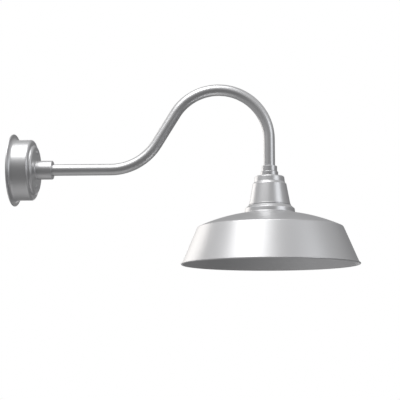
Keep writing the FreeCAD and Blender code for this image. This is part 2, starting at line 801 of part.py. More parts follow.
def lock_nut(label, plane, lift, place, turned=0.0):
    """Hexagon nut on a threaded spigot, growing away from its seat."""
    body = new_body(label, place)
    sketch = new_sketch(body, f"{label}_outline", plane, lift)
    hexagon(sketch, S.nut_flats, turned)
    ring(sketch, S.spigot_radius)
    pad(body, sketch, S.nut_height, backwards=True)
    return body


def make_bushing():
    """Nylon ring in the spigot's mouth, which keeps the leads off its edge."""
    body = new_body("lead_bushing")
    end = CANOPY_BACK_OF_FRONT - S.hub_spigot
    inner = S.lead_offset + S.lead_radius + 0.3
    lip = S.bushing_lip
    reach = S.bushing_reach
    turn(
        body,
        [
            (end - lip, inner + 0.4), (end - lip + 0.4, inner), (end + reach, inner),
            (end + reach, S.spigot_bore), (end, S.spigot_bore), (end, S.spigot_radius - 1.0),
            (end - lip, S.spigot_radius - 1.0),
        ],
        axis="H_Axis",
    )
    return body


# ---------------------------------------------------------------- coupling and neck


def make_coupling():
    """Turned two-step collar with a seat for the tube and a spigot through the neck's cap."""
    body = new_body("neck_coupling", ON_DROP)
    seat = S.coupling_foot + S.coupling_seat
    spigot = S.neck_top - S.neck_wall - S.nut_height - S.coupling_thread
    edge = S.coupling_edge
    groove = S.coupling_groove
    turn(
        body,
        [
            (S.tube_radius + S.tube_fit, S.coupling_top),
            (S.coupling_small - edge, S.coupling_top, -edge),
            (S.coupling_small, S.coupling_top - edge),
            (S.coupling_small, S.coupling_step + groove),
            (S.coupling_small - groove, S.coupling_step),
            (S.coupling_large - edge, S.coupling_step, -edge),
            (S.coupling_large, S.coupling_step - edge),
            (S.coupling_large, S.coupling_foot),
            (S.spigot_radius, S.coupling_foot),
            (S.spigot_radius, spigot + S.thread_chamfer),
            (S.spigot_radius - S.thread_chamfer, spigot),
            (S.spigot_bore, spigot),
            (S.spigot_bore, seat),
            (S.tube_radius + S.tube_fit, seat),
        ],
    )
    hole = new_sketch(body, "coupling_screw_hole", "XZ_Plane", -(S.coupling_large + S.overrun))
    ring(hole, S.coupling_screw, 0, S.coupling_screw_place)
    cut(body, hole, 7.5, backwards=True)
    return body


def make_seal_washer():
    """Soft washer between the coupling and the neck."""
    body = new_body("coupling_washer", ON_DROP)
    inner = S.spigot_radius + S.close_fit
    outer = S.coupling_large - S.washer_inset
    turn(
        body,
        [
            (inner, S.neck_top), (outer, S.neck_top),
            (outer, S.coupling_foot), (inner, S.coupling_foot),
        ],
    )
    return body


def make_neck():
    """Cast cup: cap with a rounded edge, shoulder, tapering side, bead and bottom flange."""
    body = new_body("neck_casting", ON_DROP)
    edge = S.cap_edge
    bead = S.bead
    inner_top = S.neck_top - S.neck_wall
    flange = S.band_top - S.foot_drop
    flange_radius = S.skirt_radius + S.foot_width
    cap_foot = S.cap_radius + 0.9
    wall = S.neck_wall
    turn(
        body,
        [
            (S.spigot_radius + 0.1, S.neck_top),
            (S.cap_radius - edge, S.neck_top, -edge),
            (S.cap_radius, S.neck_top - edge),
            (cap_foot, S.shoulder_top, S.shoulder_round),
            (
                (cap_foot + S.shoulder_radius) / 2,
                (S.shoulder_top + S.shoulder_foot) / 2,
                -S.shoulder_round,
            ),
            (S.shoulder_radius, S.shoulder_foot),
            (S.skirt_radius - 0.4, S.bead_height + bead, -bead - 0.15),
            (S.skirt_radius + 0.1, S.bead_height - bead),
            (S.skirt_radius + 0.1, flange),
            (flange_radius, flange),
            (flange_radius, S.neck_bottom),
            (flange_radius - S.foot_flat, S.neck_bottom),
            (S.skirt_radius - wall - 0.4, S.bead_height),
            (S.shoulder_radius - wall - 0.2, S.shoulder_foot - 1.0),
            (cap_foot - wall - 0.3, S.shoulder_top),
            (25.4, inner_top - 1.0, 1.0),
            (24.4, inner_top),
            (S.spigot_radius + 0.1, inner_top),
        ],
    )
    lugs = new_sketch(body, "neck_shade_lugs", "XY_Plane", S.neck_bottom)
    ring(lugs, S.lug_radius, 0, S.shade_screw_circle)
    first = pad(body, lugs, S.lug_height)
    around(body, first, 3)
    tapped = new_sketch(body, "neck_shade_tapping", "XY_Plane", S.neck_bottom)
    ring(tapped, S.shade_screw, 0, S.shade_screw_circle)
    hole = cut(body, tapped, S.lug_thread, backwards=True)
    around(body, hole, 3)
    bosses = new_sketch(body, "neck_bracket_bosses", "XY_Plane", S.bracket_height)
    for sign in (1, -1):
        ring(bosses, S.boss_radius, S.bracket_screws * sign, 0)
    pad(body, bosses, inner_top - S.bracket_height + 0.5)
    bores = new_sketch(body, "neck_bracket_bores", "XY_Plane", S.bracket_height)
    for sign in (1, -1):
        ring(bores, S.bracket_screw, S.bracket_screws * sign, 0)
    cut(body, bores, S.boss_thread, backwards=True)
    return body


def make_fitter_band():
    """Sloped cover ring that closes the joint between neck and shade."""
    body = new_body("fitter_band", ON_DROP)
    top = S.band_top
    inner = S.skirt_radius + 2.1
    lip = S.skirt_radius + 0.4
    turn(
        body,
        [
            (lip, top),
            (lip + 0.7, top + 0.3),
            (S.band_radius - 1.6, top - 4.9, -2.2),
            (S.band_radius, top - 6.6),
            (S.band_radius, S.crown_height + 3.0, 3.4),
            (S.band_radius + 1.4, S.crown_height),
            (inner, S.crown_height),
            (inner, top - 2.4),
            (lip, top - 1.6),
        ],
    )
    return body


# ---------------------------------------------------------------- shade


def shade_section():
    """Outer and inner corners of the spun sheet, from the crown's hole to the rolled rim.

    The knee's centre lies where its curve touches both the dome's sphere and the skirt's line.
    """
    wall = S.shade_wall.value
    dome = S.crown_radius.value
    knee = S.knee_radius.value
    crown = S.crown_height.value
    dome_z = S.crown_apex.value - dome
    corner = FreeCAD.Vector(S.knee_wide.value, S.knee_height.value, 0)
    rim = FreeCAD.Vector(S.shade_radius.value - S.rim_roll.value - 0.3, S.shade_rim.value, 0)
    down = (rim - corner).normalize()
    out = FreeCAD.Vector(-down.y, down.x, 0)
    start = corner - out * knee - FreeCAD.Vector(0, dome_z, 0)
    half = start * down
    along = -half - math.sqrt(half**2 - start * start + (dome - knee) ** 2)
    centre = corner - out * knee + down * along
    spoke = (centre - FreeCAD.Vector(0, dome_z, 0)).normalize()

    def side(inset):
        drop = crown - inset - dome_z
        wide = math.sqrt((dome - inset) ** 2 - drop**2)
        return [
            (wide, crown - inset),
            centre + spoke * (knee - inset),
            centre + out * (knee - inset),
            rim - out * inset,
        ]

    return side(0.0), side(wall)


def make_shade():
    """Spun bell: flat crown, shallow dome, knee, straight skirt and rolled rim."""
    body = new_body("shade", ON_DROP)
    outer, inner = shade_section()
    wall = S.shade_wall
    turn(
        body,
        [
            (S.crown_hole, S.crown_height),
            (*outer[0], -S.crown_radius),
            (outer[1].x, outer[1].y, -S.knee_radius),
            (outer[2].x, outer[2].y),
            (outer[3].x, outer[3].y),
            (inner[3].x, inner[3].y),
            (inner[2].x, inner[2].y, S.knee_radius - wall),
            (inner[1].x, inner[1].y, S.crown_radius - wall),
            inner[0],
            (S.crown_hole, S.crown_height - wall),
        ],
    )
    roll = new_sketch(body, "shade_roll")
    ring(roll, S.rim_roll, S.shade_radius - S.rim_roll, S.shade_rim)
    rim = body.newObject("PartDesign::Revolution", "shade_rolled_rim")
    rim.Profile = roll
    rim.ReferenceAxis = (roll, ["V_Axis"])
    rim.Angle = 360.0
    body.Tip = rim
    DOC.recompute()
    hole = new_sketch(body, "shade_screw_hole", "XY_Plane", S.crown_height)
    ring(hole, S.shade_screw_hole, 0, S.shade_screw_circle)
    around(body, cut(body, hole, S.shade_wall + S.overrun), 3)
    return body


def make_shade_gasket():
    """Flat gasket between the neck and the shade's crown."""
    body = new_body("shade_gasket", ON_DROP)
    inner = S.crown_hole + 0.8
    outer = S.skirt_radius + S.foot_width
    turn(
        body,
        [
            (inner, S.neck_bottom), (outer, S.neck_bottom),
            (outer, S.crown_height), (inner, S.crown_height),
        ],
    )
    hole = new_sketch(body, "gasket_screw_hole", "XY_Plane", S.neck_bottom)
    ring(hole, S.shade_screw_hole, 0, S.shade_screw_circle)
    around(body, cut(body, hole, 2.0), 3)
    return body


def pan_screw(name, shank, head, height, seat, tip):
    """An upright screw with its head below: seat is the head's upper face, tip the shank's end."""
    chamfer = 0.4
    edge = 0.8
    body = new_body(name)
    turn(
        body,
        [
            (0, tip), (shank - chamfer, tip), (shank, tip - chamfer), (shank, seat),
            (head, seat), (head, seat - height + edge, -edge),
            (head - edge, seat - height), (0, seat - height),
        ],
    )
    socket = new_sketch(body, f"{name}_socket", "XY_Plane", Size.of(seat) - height)
    hexagon(socket, shank * 1.3)
    cut(body, socket, height * 0.6, backwards=True)
    return body


def make_shade_screws():
    """Three screws up through the crown into the neck."""
    seat = S.crown_height - S.shade_wall
    tip = S.neck_bottom + S.shade_screw_reach
    body = pan_screw("shade_screw_base", S.shade_screw, 4.0, 2.4, seat, tip)
    circle = S.shade_screw_circle.value
    places = []
    for step in range(3):
        angle = math.radians(90.0 + 120.0 * step)
        places.append(move(circle * math.cos(angle), circle * math.sin(angle)))
    return copies("shade_screws", body, places, ON_DROP)


# ---------------------------------------------------------------- lampholder


def make_bracket():
    """Flat bar under the neck's bosses that carries the lampholder."""
    body = new_body("lampholder_bracket", ON_DROP)
    plate = new_sketch(body, "bracket_plate", "XY_Plane", S.bracket_height)
    half_l = S.bracket_screws + S.bracket_end
    half_w = S.bracket_half
    corner = S.bracket_corner
    outline(
        plate,
        [
            (half_l, corner - half_w), (half_l, half_w - corner, corner),
            (half_l - corner, half_w), (corner - half_l, half_w, corner),
            (-half_l, half_w - corner), (-half_l, corner - half_w, corner),
            (corner - half_l, -half_w), (half_l - corner, -half_w, corner),
        ],
    )
    pad(body, plate, S.bracket_sheet, backwards=True)
    holes = new_sketch(body, "bracket_holes", "XY_Plane", S.bracket_height)
    for sign in (1, -1):
        ring(holes, S.bracket_screw + 0.15, S.bracket_screws * sign, 0)
        ring(holes, S.holder_screw, S.holder_screws * sign, 0)
    cut(body, holes, S.bracket_sheet + S.overrun)
    return body


def make_lampholder_screws():
    """Two bracket screws into the neck's bosses, two holder screws into the bracket."""
    seat = S.bracket_height - S.bracket_sheet
    tip = S.bracket_height + 6.5
    base = pan_screw("bracket_screw_base", S.bracket_screw, 3.0, 1.8, seat, tip)
    far = S.bracket_screws.value
    brackets = copies("bracket_screws", base, [move(far), move(-far)], ON_DROP)
    tip = S.bracket_height + 0.6
    base = pan_screw("holder_screw_base", S.holder_screw, 2.8, 1.8, S.holder_floor, tip)
    near = S.holder_screws.value
    holders = copies("lampholder_screws", base, [move(near), move(-near)], ON_DROP)
    return brackets, holders


def make_lampholder_body():
    """Porcelain body: stepped top, lead holes, screw holes and a deep cavity."""
    body = new_body("lampholder_body", ON_DROP)
    top = S.bracket_height - S.bracket_sheet
    cavity = S.holder_cavity
    edge = S.holder_edge
    turn(
        body,
        [
            (0, top), (17.0, top, -edge), (17.0 + edge, top - edge), (17.0 + edge, top - 3.6),
            (S.holder_radius - 0.8, top - 5.6, -1.0), (S.holder_radius, top - 6.4),
            (S.holder_radius, S.holder_bottom + 1.2, -1.2),
            (S.holder_radius - 1.2, S.holder_bottom), (cavity + edge, S.holder_bottom),
            (cavity, S.holder_bottom + edge), (cavity, S.holder_floor), (0, S.holder_floor),
        ],
    )
    leads = new_sketch(body, "holder_lead_holes", "XY_Plane", top)
    for sign in (1, -1):
        ring(leads, S.lead_radius + S.close_fit, 0, S.lead_offset * sign)
    cut(body, leads, 6.5)
    screws = new_sketch(body, "holder_screw_holes", "XY_Plane", top)
    for sign in (1, -1):
        ring(screws, S.holder_screw, S.holder_screws * sign, 0)
    cut(body, screws, top - S.holder_floor + S.overrun)
    return body


def wavy_wall(crest, root, top, bottom):
    """Corners of a rolled thread's waves, from top to bottom."""
    pitch = S.thread_pitch.value
    corners = []
    top = Size.of(top)
    turns = int((top - bottom).value / pitch)
    for step in range(turns):
        start = top - step * pitch
        corners.append((crest, start))
        corners.append((crest, start - 0.25 * pitch))
        corners.append((root, start - 0.5 * pitch))
        corners.append((root, start - 0.75 * pitch))
    corners.append((crest, top - turns * pitch))
    return corners


def make_screw_shell():
    """Rolled shell that takes the lamp's cap, with a flange at its inner end."""
    body = new_body("screw_shell", ON_DROP)
    top = S.shell_top
    bottom = S.shell_bottom
    sheet = S.shell_sheet
    hole = S.shell_hole
    crest = S.shell_radius
    root = crest + 1.0
    wave = wavy_wall(crest, root, top - 2.0, bottom + 0.6)
    outside = [(x + sheet, z) for x, z in wave]
    turn(
        body,
        [(hole, top), (crest + sheet, top)]
        + outside
        + [(crest + sheet, bottom), (crest, bottom)]
        + wave[::-1]
        + [(crest, top - sheet), (hole, top - sheet)],
    )
    return body


def make_centre_contact():
    """Bent spring tongue that meets the lamp's tip."""
    body = new_body("centre_contact", ON_DROP)
    strip = new_sketch(body, "contact_strip", "YZ_Plane", -S.contact_width / 2)
    sheet = S.contact_sheet
    tip = S.lamp_top + sheet
    floor = S.holder_floor
    outline(
        strip,
        [
            (-4.0, S.lamp_top), (3.6, S.lamp_top), (4.6, tip), (4.6, floor - sheet),
            (8.4, floor - sheet), (8.4, floor), (4.0, floor), (4.0, tip + 0.3), (3.4, tip),
            (-4.0, tip),
        ],
    )
    pad(body, strip, S.contact_width)
    return body


# ---------------------------------------------------------------- lamp


def make_lamp():
    """Plain A60 lamp: contact, insulator, threaded cap, housing, board, LEDs and globe."""
    tip = S.lamp_top
    seat = S.globe_centre + S.globe_seat
    rim = math.sqrt(S.globe_radius.value**2 - S.globe_seat.value**2)
    bore = S.cap_bore
    foot = tip - S.cap_foot
    glass_top = tip - S.insulator_top
    glass_foot = tip - S.insulator_foot
    glass = S.insulator_radius

    contact = new_body("lamp_contact", ON_DROP)
    turn(contact, [(0, tip), (2.4, tip), (4.8, tip - 1.2), (4.8, glass_top), (0, glass_top)])

    insulator = new_body("lamp_cap_insulator", ON_DROP)
    turn(
        insulator,
        [(0, glass_top), (5.6, glass_top), (glass, tip - 5.4), (glass, glass_foot), (0, glass_foot)],
    )

    cap = new_body("lamp_cap", ON_DROP)
    thread_top = tip - 6.6
    thread_foot = tip - 24.0
    wave = wavy_wall(S.cap_crest - S.cap_thread, S.cap_crest, thread_top, thread_foot)
    turn(
        cap,
        [(bore, glass_foot), (glass, glass_foot)]
        + wave
        + [(S.cap_crest, thread_foot - 1.2), (S.cap_crest, foot), (bore, foot)],
    )

    housing = new_body("lamp_housing", ON_DROP)
    turn(
        housing,
        [
            (0, glass_foot), (bore, glass_foot), (bore, foot), (12.8, foot),
            (12.8, tip - 31.4), (14.4, tip - 31.4, -1.0), (15.2, tip - 32.6),
            (16.6, tip - 41.0, 40.0), (rim, seat + 1.6), (rim, seat), (0, seat),
        ],
    )

    board = new_body("lamp_led_board", ON_DROP)
    plate = new_sketch(board, "board_plate", "XY_Plane", seat)
    ring(plate, S.board_radius)
    pad(board, plate, S.board_sheet, backwards=True)

    led = new_body("led_base")
    chip = new_sketch(led, "led_chip", "XY_Plane", seat - S.board_sheet)
    half = S.led_side / 2
    outline(chip, [(-half, -half), (half, -half), (half, half), (-half, half)])
    pad(led, chip, S.led_height, backwards=True)
    places = []
    count = int(S.led_count.value)
    for step in range(count):
        angle = 360.0 / count * step
        away = math.radians(angle)
        circle = S.led_circle.value
        places.append(move(circle * math.cos(away), circle * math.sin(away), angle=angle))
    leds = copies("lamp_leds", led, places, ON_DROP)

    globe = new_body("lamp_globe", ON_DROP)
    inner = S.globe_radius - S.globe_wall
    inner_rim = math.sqrt(inner.value**2 - S.globe_seat.value**2)
    side = S.globe_centre
    turn(
        globe,
        [
            (inner_rim, seat), (rim, seat, -S.globe_radius),
            (S.globe_radius, side, -S.globe_radius),
            (0, side - S.globe_radius), (0, side - inner, inner), (inner, side, inner),
        ],
    )
    return [contact, insulator, cap, housing, board, leds, globe]


# ---------------------------------------------------------------- assembly


def build():
    """Every sub-part, in the order it goes together from the wall outwards."""
    parts = [make_wall_gasket(), make_strap(), make_canopy(), make_canopy_screws()]
    parts += make_earthing()
    parts += [
        make_hub(),
        grub_screw(
            "hub_grub_screw", S.hub_screw, S.hub_screw_face, ON_WALL, S.hub_screw_place, 0
        ),
        lock_nut("hub_lock_nut", "YZ_Plane", CANOPY_BACK_OF_FRONT, ON_WALL),
        make_bushing(),
        make_arm(),
    ]
    leads, turn_x = make_leads()
    parts += leads
    connector = make_wire_connectors()
    aside = S.lead_offset.value
    earth_end = 13.4
    mouth = S.connector_place.value
    parts.append(
        copies(
            "wire_connectors",
            connector,
            [
                move(turn_x, -aside, mouth, (0, 1, 0), -90.0),
                move(turn_x, aside, -mouth, (0, 1, 0), 90.0),
                move(earth_end, S.earth_turn.value, S.earth_place.value),
            ],
        )
    )
    parts += [
        make_coupling(),
        grub_screw(
            "coupling_grub_screw", S.coupling_screw, S.coupling_screw_face, ON_DROP,
            0, S.coupling_screw_place,
        ),
        lock_nut("coupling_lock_nut", "XY_Plane", S.neck_top - S.neck_wall, ON_DROP, 30.0),
        make_seal_washer(),
        make_neck(),
        make_fitter_band(),
        make_shade_gasket(),
        make_shade(),
        make_shade_screws(),
        make_bracket(),
        *make_lampholder_screws(),
        make_lampholder_body(),
        make_screw_shell(),
        make_centre_contact(),
    ]
    return parts + make_lamp()


def check(parts):
    """Stop if an object failed, or a part is null, open or not valid."""
    DOC.recompute()
    for thing in DOC.Objects:
        if "Invalid" in thing.State or "Error" in thing.State:
            raise RuntimeError(f"{thing.Label} failed: {thing.State}")
    for part in parts:
        shape = part.Shape
        if shape.isNull() or not shape.isValid() or shape.Volume <= 0:
            raise RuntimeError(f"{part.Label} has no valid shape")
        if not all(solid.isClosed() for solid in shape.Solids):
            raise RuntimeError(f"{part.Label} is open")


def write(parts):
    """One STEP file for each sub-part, named after it."""
    os.makedirs("parts", exist_ok=True)
    for part in parts:
        part.Shape.exportStep(os.path.join("parts", f"{part.Label}.step"))
        box = part.Shape.BoundBox
        print(
            f"{part.Label:22s} solids {len(part.Shape.Solids):2d} volume {part.Shape.Volume:10.0f}"
            f"  x {box.XMin:7.2f} {box.XMax:7.2f}  y {box.YMin:7.2f} {box.YMax:7.2f}"
            f"  z {box.ZMin:7.2f} {box.ZMax:7.2f}"
        )


PARTS = build()
check(PARTS)
write(PARTS)
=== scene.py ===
"""Gooseneck wall light: its finishes and smooth visible pieces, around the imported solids.

Lengths are in millimetres in the classes below, as in the part's source, and become metres
where a vertex is placed. The canopy and hub turn about the wall's X axis, and everything
from the coupling down turns about the upright axis of the shade.
"""

from __future__ import annotations

import json
import logging
import math
from dataclasses import dataclass, field
from enum import Enum
from typing import Callable, Iterable, Iterator, Sequence

import bmesh
import bpy
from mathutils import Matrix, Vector

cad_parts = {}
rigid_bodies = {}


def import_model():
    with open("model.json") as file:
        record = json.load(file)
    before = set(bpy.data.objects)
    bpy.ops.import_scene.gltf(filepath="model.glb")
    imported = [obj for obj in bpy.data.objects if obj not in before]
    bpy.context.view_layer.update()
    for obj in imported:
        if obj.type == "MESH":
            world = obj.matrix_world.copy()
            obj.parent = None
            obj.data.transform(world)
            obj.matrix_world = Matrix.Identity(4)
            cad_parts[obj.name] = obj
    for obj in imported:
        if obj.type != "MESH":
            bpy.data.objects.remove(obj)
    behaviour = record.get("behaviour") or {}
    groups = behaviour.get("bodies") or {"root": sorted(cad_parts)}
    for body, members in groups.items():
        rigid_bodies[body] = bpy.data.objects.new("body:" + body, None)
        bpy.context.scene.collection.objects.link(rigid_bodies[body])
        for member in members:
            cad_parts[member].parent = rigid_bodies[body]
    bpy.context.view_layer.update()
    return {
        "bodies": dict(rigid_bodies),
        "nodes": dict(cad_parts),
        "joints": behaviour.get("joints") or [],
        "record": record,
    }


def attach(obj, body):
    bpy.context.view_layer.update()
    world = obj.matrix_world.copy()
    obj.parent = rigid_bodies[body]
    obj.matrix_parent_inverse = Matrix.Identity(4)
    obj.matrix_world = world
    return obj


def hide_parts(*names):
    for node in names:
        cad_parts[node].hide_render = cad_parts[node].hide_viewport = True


LOG = logging.getLogger("wall_light")
MM = 0.001

Point = tuple[float, float]
Corner = tuple[float, ...]
Colour = tuple[float, float, float]
Rings = list[list[bmesh.types.BMVert]]
Pieces = Iterator[tuple[bpy.types.Object, str, str]]

SHADE_AXIS = 520.0  # the shade's upright axis, out from the wall
TUBE_HOLE = 11.72  # radius of the holes that the arm's tube sits in
SPIGOT = 13.0  # radius of the hub's and the coupling's threaded ends
SPIGOT_BORE = 10.3  # radius of the way for the leads through them
SPIGOT_EDGE = 0.8  # the bevel on their ends
HOLD = 0.3  # how far a holding point lies from its corner
SMALL_ARC = 1.2  # an arc of a smaller radius gets half the points
ARC_TURN = math.radians(9.0)  # the most that one step of an arc turns
ARC_RUN = 5.0  # the longest step of an arc
SHARP = 34.0  # edges turn sharp past this angle, in degrees
VARIANT = "_spun"  # ends the name of a slot's finish with turning rings


# ------------------------------------------------------------------ places and outlines


class Axis(Enum):
    """The axes that pieces are turned about."""

    WALL = "wall"
    DROP = "drop"
    OWN = "own"

    def place(self, x: float, y: float, angle: float) -> Vector:
        """Puts a point of a section at an angle about the axis.

        Args:
            x: Along the wall's axis, or out from an upright axis.
            y: Out from the wall's axis, or height on an upright axis.
            angle: The turn about the axis, in radians.

        Returns:
            The place in metres.
        """
        if self is Axis.WALL:
            return Vector((x, y * math.cos(angle), y * math.sin(angle))) * MM
        shift = SHADE_AXIS if self is Axis.DROP else 0.0
        return Vector((x * math.cos(angle) + shift, x * math.sin(angle), y)) * MM

    def reach(self, point: Point) -> float:
        """How far a point of a section stands out from the axis."""
        return point[1] if self is Axis.WALL else point[0]


def arc(start: Point, end: Point, radius: float, long_way: bool = False) -> list[Point]:
    """Points of an arc after its start, up to its end.

    Args:
        start: Where the arc begins.
        end: Where the arc ends.
        radius: Its radius, above zero where it turns left and below where it turns right.
        long_way: Whether it goes round by more than half a turn.

    Returns:
        The points, close enough to look round.
    """
    size = abs(radius)
    chord = Vector(end) - Vector(start)
    height = math.sqrt(max(size**2 - (chord.length / 2) ** 2, 0.0))
    aside = Vector((-chord.y, chord.x)).normalized()
    if (radius > 0) == long_way:
        height = -height
    centre = (Vector(start) + Vector(end)) / 2 + aside * height
    first = math.atan2(start[1] - centre.y, start[0] - centre.x)
    turn = math.atan2(end[1] - centre.y, end[0] - centre.x) - first
    while radius > 0 and turn <= 0:
        turn += math.tau
    while radius < 0 and turn >= 0:
        turn -= math.tau
    count = max(3, math.ceil(abs(turn) / ARC_TURN), math.ceil(abs(turn) * size / ARC_RUN))
    if size < SMALL_ARC:
        count = max(4, count // 2)
    steps = [first + turn * step / count for step in range(1, count + 1)]
    return [(centre.x + size * math.cos(a), centre.y + size * math.sin(a)) for a in steps]


def section(corners: Sequence[Corner]) -> list[Point]:
    """Turns a closed list of corners into points, with arcs and holding points.

    Args:
        corners: (x, y), (x, y, radius) where an arc leaves the corner, or
            (x, y, radius, 1) where that arc goes the long way round.

    Returns:
        The closed section's points. A straight edge gets a point close to each end, which
        keeps the shading of a round edge from spreading over a flat face.
    """
    points: list[Point] = []
    for corner, following in zip(corners, [*corners[1:], corners[0]]):
        start, end = (corner[0], corner[1]), (following[0], following[1])
        points.append(start)
        if len(corner) > 2:
            points += arc(start, end, corner[2], len(corner) > 3)[:-1]
            continue
        run = Vector(end) - Vector(start)
        if run.length > 4 * HOLD:
            near = run.normalized() * HOLD
            points.append((start[0] + near.x, start[1] + near.y))
            points.append((end[0] - near.x, end[1] - near.y))
    return points


# ------------------------------------------------------------------ meshes


def fill(mesh: bpy.types.Mesh, bm: bmesh.types.BMesh, sharp: float) -> None:
    """Fills a mesh with a closed shape, with its faces outwards and smooth.

    Args:
        mesh: The mesh.
        bm: The shape, which is used up.
        sharp: The angle in degrees past which an edge stays sharp.
    """
    if bm.calc_volume(signed=True) < 0:
        bmesh.ops.reverse_faces(bm, faces=bm.faces)
    bm.to_mesh(mesh)
    bm.free()
    mesh.shade_smooth()
    mesh.set_sharp_from_angle(angle=math.radians(sharp))


def new_piece(name: str, bm: bmesh.types.BMesh, sharp: float = SHARP) -> bpy.types.Object:
    """Makes an object of a closed mesh, with its faces outwards and smooth.

    Args:
        name: The piece's name.
        bm: Its mesh, which is used up.
        sharp: The angle in degrees past which an edge stays sharp.

    Returns:
        The object, at the origin.
    """
    mesh = bpy.data.meshes.new(name)
    fill(mesh, bm, sharp)
    piece = bpy.data.objects.new(name, mesh)
    bpy.context.scene.collection.objects.link(piece)
    return piece


def joined(name: str, bm: bmesh.types.BMesh, rings: Rings, sharp: float = SHARP) -> bpy.types.Object:
    """Joins each ring of vertices to the next one, and the last to the first.

    Args:
        name: The piece's name.
        bm: The mesh that holds the vertices.
        rings: The rings, each with as many vertices as the others, or with one on the axis.
        sharp: The angle in degrees past which an edge stays sharp.

    Returns:
        The closed piece.
    """
    sides = max(len(ring) for ring in rings)
    for ring, following in zip(rings, [*rings[1:], rings[0]]):
        if len(ring) == len(following) == 1:
            continue
        for side in range(sides):
            after = (side + 1) % sides
            bm.faces.new(dict.fromkeys((
                ring[side % len(ring)], ring[after % len(ring)],
                following[after % len(following)], following[side % len(following)],
            )))
    return new_piece(name, bm, sharp)


def turned(name: str, corners: Sequence[Corner], axis: Axis, sides: int) -> bpy.types.Object:
    """Turns a closed section about an axis.

    Args:
        name: The piece's name.
        corners: The section's corners, as section() takes them.
        axis: The axis that it turns about.
        sides: How many faces go round.

    Returns:
        The turned piece.
    """
    bm = bmesh.new()
    rings: Rings = []
    for point in section(corners):
        count = 1 if axis.reach(point) < 1e-6 else sides
        rings.append([
            bm.verts.new(axis.place(*point, math.tau * side / count)) for side in range(count)
        ])
    return joined(name, bm, rings)


def rod(name: str, radius: float, start: Vector, end: Vector, sides: int = 48) -> bpy.types.Object:
    """A plain closed rod between two places, to cut or add with.

    Args:
        name: The rod's name.
        radius: Its radius in millimetres.
        start: The middle of one end, in millimetres.
        end: The middle of the other end, in millimetres.
        sides: How many faces go round.

    Returns:
        The rod.
    """
    run = end - start
    turn = run.to_track_quat("Z", "Y")
    bm = bmesh.new()
    ends = []
    for height in (0.0, run.length):
        spots = []
        for side in range(sides):
            angle = math.tau * side / sides
            local = Vector((radius * math.cos(angle), radius * math.sin(angle), height))
            spots.append(bm.verts.new((start + turn @ local) * MM))
        ends.append(spots)
    for side in range(sides):
        after = (side + 1) % sides
        bm.faces.new((ends[0][side], ends[0][after], ends[1][after], ends[1][side]))
    bm.faces.new(ends[0][::-1])
    bm.faces.new(ends[1])
    return new_piece(name, bm)


def settle(piece: bpy.types.Object, sharp: float = SHARP) -> bpy.types.Object:
    """Turns a piece and its modifiers into a plain mesh.

    Args:
        piece: The object whose modifiers are used up.
        sharp: The angle in degrees past which an edge stays sharp.

    Returns:
        The same object.
    """
    graph = bpy.context.evaluated_depsgraph_get()
    graph.update()
    mesh = bpy.data.meshes.new_from_object(piece.evaluated_get(graph))
    mesh.name = piece.name
    piece.modifiers.clear()
    piece.data = mesh
    bm = bmesh.new()
    bm.from_mesh(mesh)
    bmesh.ops.remove_doubles(bm, verts=bm.verts, dist=1e-7)
    bmesh.ops.dissolve_degenerate(bm, edges=bm.edges, dist=1e-7)
    fill(mesh, bm, sharp)
    return piece


class Carve(Enum):
    """What a tool does to the piece that it works on."""

    AWAY = "DIFFERENCE"
    TOGETHER = "UNION"


def carve(piece: bpy.types.Object, tools: Iterable[bpy.types.Object], how: Carve) -> None:
    """Cuts tools out of a piece, or joins them to it, and removes the tools.

    Args:
        piece: The piece that changes.
        tools: The closed shapes to work with.
        how: Whether they are cut away or joined.
    """
    tools = list(tools)
    for tool in tools:
        step = piece.modifiers.new(tool.name, "BOOLEAN")
        step.operation = how.value
        step.object = tool
        step.solver = "EXACT"
    settle(piece)
    for tool in tools:
        bpy.data.objects.remove(tool)


def drill(collar: bpy.types.Object, radius: float, middle: Vector, outer: float) -> bpy.types.Object:
    """Drills a grub screw's hole through the far side of a collar.

    Args:
        collar: The collar round the tube.
        radius: The hole's radius in millimetres.
        middle: The place on the collar's axis that the hole points at, in millimetres.
        outer: The collar's outer radius there.

    Returns:
        The collar.
    """
    inside, outside = 1.5, 2.0
    reaches = (TUBE_HOLE - inside, outer + outside)
    start, end = (middle + Vector((0.0, reach, 0.0)) for reach in reaches)
    carve(collar, [rod("drill", radius, start, end)], Carve.AWAY)
    return collar


# ------------------------------------------------------------------ node trees


def arithmetic(operation: str, swapped: bool = False) -> Callable[["Signal", object], "Signal"]:
    """Makes a Signal's operator, which adds one Math node.

    Args:
        operation: The Math node's operation.
        swapped: Whether the other value comes first.

    Returns:
        The operator's method.
    """

    def method(self: "Signal", other: object) -> "Signal":
        """Works the two values out in the signal's tree."""
        pair = (other, self) if swapped else (self, other)
        return self.tree.node("ShaderNodeMath", {"operation": operation}, dict(enumerate(pair)))

    return method


class Signal:
    """One output of a node tree, with arithmetic."""

    def __init__(self, tree: "Tree", socket: bpy.types.NodeSocket) -> None:
        """Wraps a socket of a tree."""
        self.tree = tree
        self.socket = socket

    __add__, __radd__ = arithmetic("ADD"), arithmetic("ADD", swapped=True)
    __sub__, __rsub__ = arithmetic("SUBTRACT"), arithmetic("SUBTRACT", swapped=True)
    __mul__, __rmul__ = arithmetic("MULTIPLY"), arithmetic("MULTIPLY", swapped=True)
    __truediv__ = arithmetic("DIVIDE")


